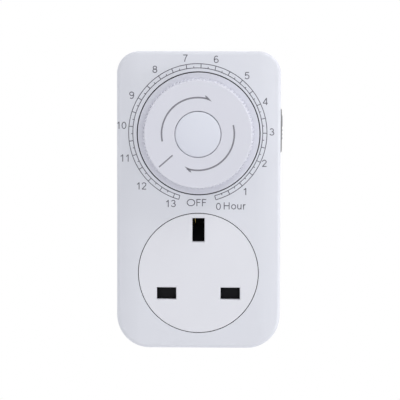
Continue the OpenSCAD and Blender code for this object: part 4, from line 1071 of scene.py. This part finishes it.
class TIMER_OT_arrows(TimerOperator, bpy.types.Operator):
    """Print the two turning arrows and the pointer on the knob."""

    bl_idname = "timer.arrows"
    bl_label = "Arrows"

    def execute(self, context):
        ink = context.scene.timer_print
        level = KNOB_Y - ink.thickness / 2
        line = {"Thickness": ink.thickness, "Level": level, "Finish": finish("arrow_grey")}
        middle = DIAL + Vector((0.0, 0.0, ink.arrow_up))
        arcs = [arc_path(middle, ink.arrow_r, math.radians(start), math.radians(tip + 2.0)) for start, tip in ARROWS]
        heads = [self.head(ink, math.radians(tip - 3.0), middle) for _, tip in ARROWS]
        foot = middle + Vector((0.0, 0.0, 0.2 * MM))
        pointer = [on_circle(foot, radius, POINTER_TURN) for radius in POINTER_REACH]
        lines = [
            grown(paths_mesh(paths, name), "Printed line", {**line, "Width": width}, name)
            for paths, name, width in (
                (arcs, "arcs", ink.arrow_w), ([(pointer, False)], "pointer", ink.arrow_w * 0.85),
            )
        ]
        solids = [*lines, self.solid_heads(heads, level, ink.thickness)]
        new_piece("knob_arrows", joined(solids, "knob_arrows"), "dial", "arrow_grey")
        return {"FINISHED"}

    @staticmethod
    def head(ink, tip, middle):
        """A half arrowhead: its barb stands off the outer side of the arc."""
        half = ink.arrow_w / 2
        outline = ((-half - 0.15 * MM, 0.0), (-half, 9.0), (half, 11.0), (0.98 * MM, 13.0), (0.8 * MM, 9.5))
        return [on_circle(middle, ink.arrow_r + out, tip + math.radians(back)) for out, back in outline]

    @staticmethod
    def solid_heads(heads, level, thickness):
        """The arrowheads as thin solids."""
        shape = bmesh.new()
        for outline in heads:
            front = [shape.verts.new((x, level - thickness / 2, z)) for x, z in outline]
            back = [shape.verts.new((x, level + thickness / 2, z)) for x, z in outline]
            shape.faces.new(front)
            shape.faces.new(reversed(back))
            for i in range(len(outline)):
                j = (i + 1) % len(outline)
                shape.faces.new((front[i], front[j], back[j], back[i]))
        bmesh.ops.recalc_face_normals(shape, faces=shape.faces)
        return mesh_of(shape, "heads")


class TIMER_OT_side_switch(TimerOperator, bpy.types.Operator):
    """Ease and finish the side switch's bezel and slider."""

    bl_idname = "timer.side_switch"
    bl_label = "Side switch"

    def execute(self, context):
        share = context.scene.timer_case.slide_share
        eased("switch_bezel", "slide_bezel", 0.08 * MM, form=lambda shape: lowered(shape, share))
        eased("switch_slider", "slide_button", 0.1 * MM, form=lambda shape: lowered(shape, share))
        return {"FINISHED"}


class TIMER_OT_pins(TimerOperator, bpy.types.Operator):
    """Ease and finish the plug pins and their sleeves."""

    bl_idname = "timer.pins"
    bl_label = "Plug pins"

    def execute(self, context):
        for pin in ("earth", "live", "neutral"):
            eased(f"plug_{pin}_blade", f"{pin}_pin", 0.22 * MM, 3)
        for pin in ("live", "neutral"):
            eased(f"plug_{pin}_sleeve", f"{pin}_pin_sleeve", 0.2 * MM, 3)
        return {"FINISHED"}


class TIMER_OT_screws(TimerOperator, bpy.types.Operator):
    """Build the case screws with domed heads and cross recesses."""

    bl_idname = "timer.screws"
    bl_label = "Case screws"

    def execute(self, context):
        corners = [vertex.co for vertex in frame["nodes"]["case_screws"].data.vertices]
        centres, head_r = [], 0.0
        for side, end in ((-1, -1), (-1, 1), (1, -1), (1, 1)):
            across = [c.x for c in corners if c.x * side > 0 and c.z * end > 0]
            along = [c.z for c in corners if c.x * side > 0 and c.z * end > 0]
            centres.append(((min(across) + max(across)) / 2, SCREWS_HIGH.y, (min(along) + max(along)) / 2))
            head_r = (max(across) - min(across)) / 2
        holder = bpy.data.objects.new("screw_item", self.screw(head_r))
        context.scene.collection.objects.link(holder)
        values = {"Item": holder, "Turn": 0.7, "Finish": finish("zinc_steel")}
        mesh = grown(points_mesh(centres, "screw_places"), "Set out", values, "screws")
        bpy.data.objects.remove(holder)
        evened(new_piece("cover_screws", mesh, "case", "zinc_steel", ["case_screws"]))
        return {"FINISHED"}

    @staticmethod
    def screw(head_r):
        """A screw at the origin with its head's top at y = 0, facing +Y."""
        shape = bmesh.new()
        origin = Vector((0.0, 0.0, 0.0))
        rings, steps = 14, 48
        head_t, head_side, dome, recess = 2.0 * MM, 0.8 * MM, 0.35 * MM, 1.1 * MM
        shank_r, shank_end = 1.4 * MM, 6.0 * MM
        arm, arm_slope, reach, reach_slope = 0.4 * MM, 0.16 * MM, 1.5 * MM, 0.55 * MM

        def sunk(x, z):
            """How far the cross recess goes down at a point, from 0 to 1."""
            return max(
                clamped((arm - abs(a)) / arm_slope + 0.5) * clamped((reach - abs(b)) / reach_slope)
                for a, b in ((x, z), (z, x))
            )

        rows = [[shape.verts.new((0.0, -recess, 0.0))]]
        for share in (i / rings for i in range(1, rings + 1)):
            rows.append(ring(
                shape, origin, head_r * share, steps, lambda x, z: -dome * share**4 - recess * sunk(x, z),
            ))
        for radius, y in (
            (head_r, -head_side), (head_r, -head_t), (shank_r, -head_t), (shank_r, -shank_end), (0.0, -shank_end),
        ):
            rows.append(ring(shape, origin, radius, steps, lambda x, z: y))
        return smoothed(mesh_of(skinned(shape, rows), "screw"))


class TIMER_OT_spring(TimerOperator, bpy.types.Operator):
    """Wind the shutter's return spring."""

    bl_idname = "timer.spring"
    bl_label = "Shutter spring"

    def execute(self, context):
        metal = context.scene.timer_metal
        wire_r = metal.spring_wire / 2
        low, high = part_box("shutter_spring")
        foot = Vector(((low.x + high.x) / 2, (low.y + high.y) / 2, low.z + wire_r))
        mesh = smoothed(grown(points_mesh([tuple(foot)], "spring_seat"), "Coil", {
            "Radius": (high.x - low.x) / 2 - wire_r, "Wire radius": wire_r, "Height": high.z - low.z - 2 * wire_r,
            "Turns": metal.spring_turns, "Foot": foot, "Finish": finish("spring_steel"),
        }, "shutter_coil"))
        body = body_of_node("shutter_spring")
        spring = new_piece("shutter_coil", mesh, body, "spring_steel", ["shutter_spring"])
        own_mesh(spring)
        return {"FINISHED"}


class TIMER_OT_inside(TimerOperator, bpy.types.Operator):
    """Finish every CAD node that stays: the mechanism, the contacts and the shutter."""

    bl_idname = "timer.inside"
    bl_label = "Mechanism"

    def execute(self, context):
        for name, obj in frame["nodes"].items():
            if obj.hide_render:
                continue
            material = finish(slot_of_node(name))
            if not obj.material_slots:
                obj.data.materials.append(material)
            for slot in obj.material_slots:
                slot.material = material
        return {"FINISHED"}


class TIMER_OT_stage(TimerOperator, bpy.types.Operator):
    """Set the camera, the lamps, the floor and the white surround."""

    bl_idname = "timer.stage"
    bl_label = "Stage"

    def execute(self, context):
        scene = context.scene
        stage = scene.timer_stage
        scene.view_settings.view_transform = "Standard"
        self.camera(scene, stage)
        for name, (place, size) in LAMPS.items():
            self.lamp(f"{name}_lamp", place, size, getattr(stage, name))
        self.floor(stage)
        self.world(scene, stage)
        return {"FINISHED"}

    @staticmethod
    def camera(scene, stage):
        data = bpy.data.cameras.new("front_camera")
        data.type = "PERSP"
        data.sensor_width = 36.0
        place = Vector((stage.right, FACE_Y - stage.distance, stage.rise))
        target = Vector((0.54 * MM, FACE_Y, 0.15 * MM))
        data.lens = data.sensor_width * (target - place).length / stage.view_width
        data.clip_start, data.clip_end = 0.01, 50.0
        camera = bpy.data.objects.new("front_camera", data)
        camera.location = place
        aim = (target - place).to_track_quat("-Z", "Y").to_matrix() @ Matrix.Rotation(stage.roll, 3, "Z")
        camera.rotation_euler = aim.to_euler()
        scene.collection.objects.link(camera)
        scene.camera = camera

    @staticmethod
    def lamp(name, place, size, watts):
        """A round area lamp that looks at the origin."""
        data = bpy.data.lights.new(name, "AREA")
        data.shape = "DISK"
        data.size = size
        data.energy = watts
        lamp = bpy.data.objects.new(name, data)
        lamp.location = place
        lamp.rotation_euler = Vector(place).to_track_quat("Z", "Y").to_euler()
        bpy.context.scene.collection.objects.link(lamp)

    @staticmethod
    def floor(stage):
        """A pale floor that keeps the timer's shadow and fades to white further out."""
        half, level = 1.2, -CASE_HALF_H - stage.floor_drop
        mesh = bpy.data.meshes.new("floor")
        corners = [(x * half, y * half, level) for x, y in ((-1, -1), (1, -1), (1, 1), (-1, 1))]
        mesh.from_pydata(corners, [], [(0, 1, 2, 3)])
        floor = bpy.data.objects.new("floor", mesh)
        bpy.context.scene.collection.objects.link(floor)
        material, nodes = surface("floor_paper", {"Roughness": 0.9})
        parts = {
            **SEEN_PARTS,
            "tone": tinted((0.92, 0.92, 0.92), 0.01, 4.0),
            "place": part("ShaderNodeTexCoord"),
            "flat": part("ShaderNodeVectorMath", {1: (1.0, 1.0, 0.0)}, operation="MULTIPLY"),
            "far": part("ShaderNodeVectorMath", operation="LENGTH"),
            "fade": part("ShaderNodeMapRange", {"From Min": 0.3, "From Max": 1.1}, interpolation_type="SMOOTHSTEP"),
            "share": part("ShaderNodeMath", operation="MULTIPLY"),
            "white": part("ShaderNodeEmission", {"Color": WHITE, "Strength": 1.0}),
            "mix": part("ShaderNodeMixShader"),
        }
        wired(material.node_tree, nodes, parts, SEEN_LINKS + """
            tone.Colour > shader.Base Color
            place.Object > flat.0
            flat.Vector > far.0
            far.Value > fade.Value
            fade.Result > share.0
            seen.0 > share.1
            share.0 > mix.0
            shader.0 > mix.1
            white.0 > mix.2
            mix.0 > surface.Surface""")
        mesh.materials.append(material)

    @staticmethod
    def world(scene, stage):
        """Surrounding light that is stronger from the back, and looks white."""
        world = bpy.data.worlds.new("surround")
        world.use_nodes = True
        world.node_tree.nodes.clear()
        levels = {"From Min": -1.0, "From Max": 0.3, "To Min": stage.front, "To Max": stage.back}
        parts = {
            **SEEN_PARTS,
            "place": part("ShaderNodeTexCoord"),
            "axes": part("ShaderNodeSeparateXYZ"),
            "level": part("ShaderNodeMapRange", levels),
            "lit": part("ShaderNodeBackground", {"Color": (0.97, 0.97, 1.0, 1.0)}),
            "white": part("ShaderNodeBackground", {"Color": WHITE, "Strength": 1.0}),
            "mix": part("ShaderNodeMixShader"),
            "out": part("ShaderNodeOutputWorld"),
        }
        wired(world.node_tree, {}, parts, SEEN_LINKS + """
            place.Generated > axes.0
            axes.Y > level.Value
            level.Result > lit.Strength
            seen.0 > mix.0
            lit.0 > mix.1
            white.0 > mix.2
            mix.0 > out.Surface""")
        scene.world = world


class TIMER_PT_panel(bpy.types.Panel):
    """Lists the timer's settings and pieces."""

    bl_idname = "TIMER_PT_panel"
    bl_label = "Countdown timer"
    bl_space_type = "VIEW_3D"
    bl_region_type = "UI"
    bl_category = "Timer"

    def draw(self, context):
        for name in GROUPS:
            box = self.layout.box()
            settings = getattr(context.scene, name)
            for key in settings.__annotations__:
                box.prop(settings, key)
        for operator in OPERATORS:
            self.layout.operator(operator.bl_idname)


GROUPS = {
    "timer_case": CaseSettings,
    "timer_dial": DialSettings,
    "timer_print": PrintSettings,
    "timer_metal": MetalSettings,
    "timer_stage": StageSettings,
}
OPERATORS = [
    TIMER_OT_case, TIMER_OT_outlet, TIMER_OT_knob, TIMER_OT_cap, TIMER_OT_scale, TIMER_OT_arrows,
    TIMER_OT_side_switch, TIMER_OT_pins, TIMER_OT_screws, TIMER_OT_spring, TIMER_OT_inside, TIMER_OT_stage,
]


def register():
    for kind in (*GROUPS.values(), *OPERATORS, TIMER_PT_panel):
        bpy.utils.register_class(kind)
    for name, settings in GROUPS.items():
        setattr(bpy.types.Scene, name, PointerProperty(type=settings))


def unregister():
    for name in GROUPS:
        delattr(bpy.types.Scene, name)
    for kind in reversed((*GROUPS.values(), *OPERATORS, TIMER_PT_panel)):
        bpy.utils.unregister_class(kind)


def main():
    register()
    for operator in OPERATORS:
        getattr(bpy.ops.timer, operator.bl_idname.split(".")[1])()


if __name__ == "__main__":
    main()
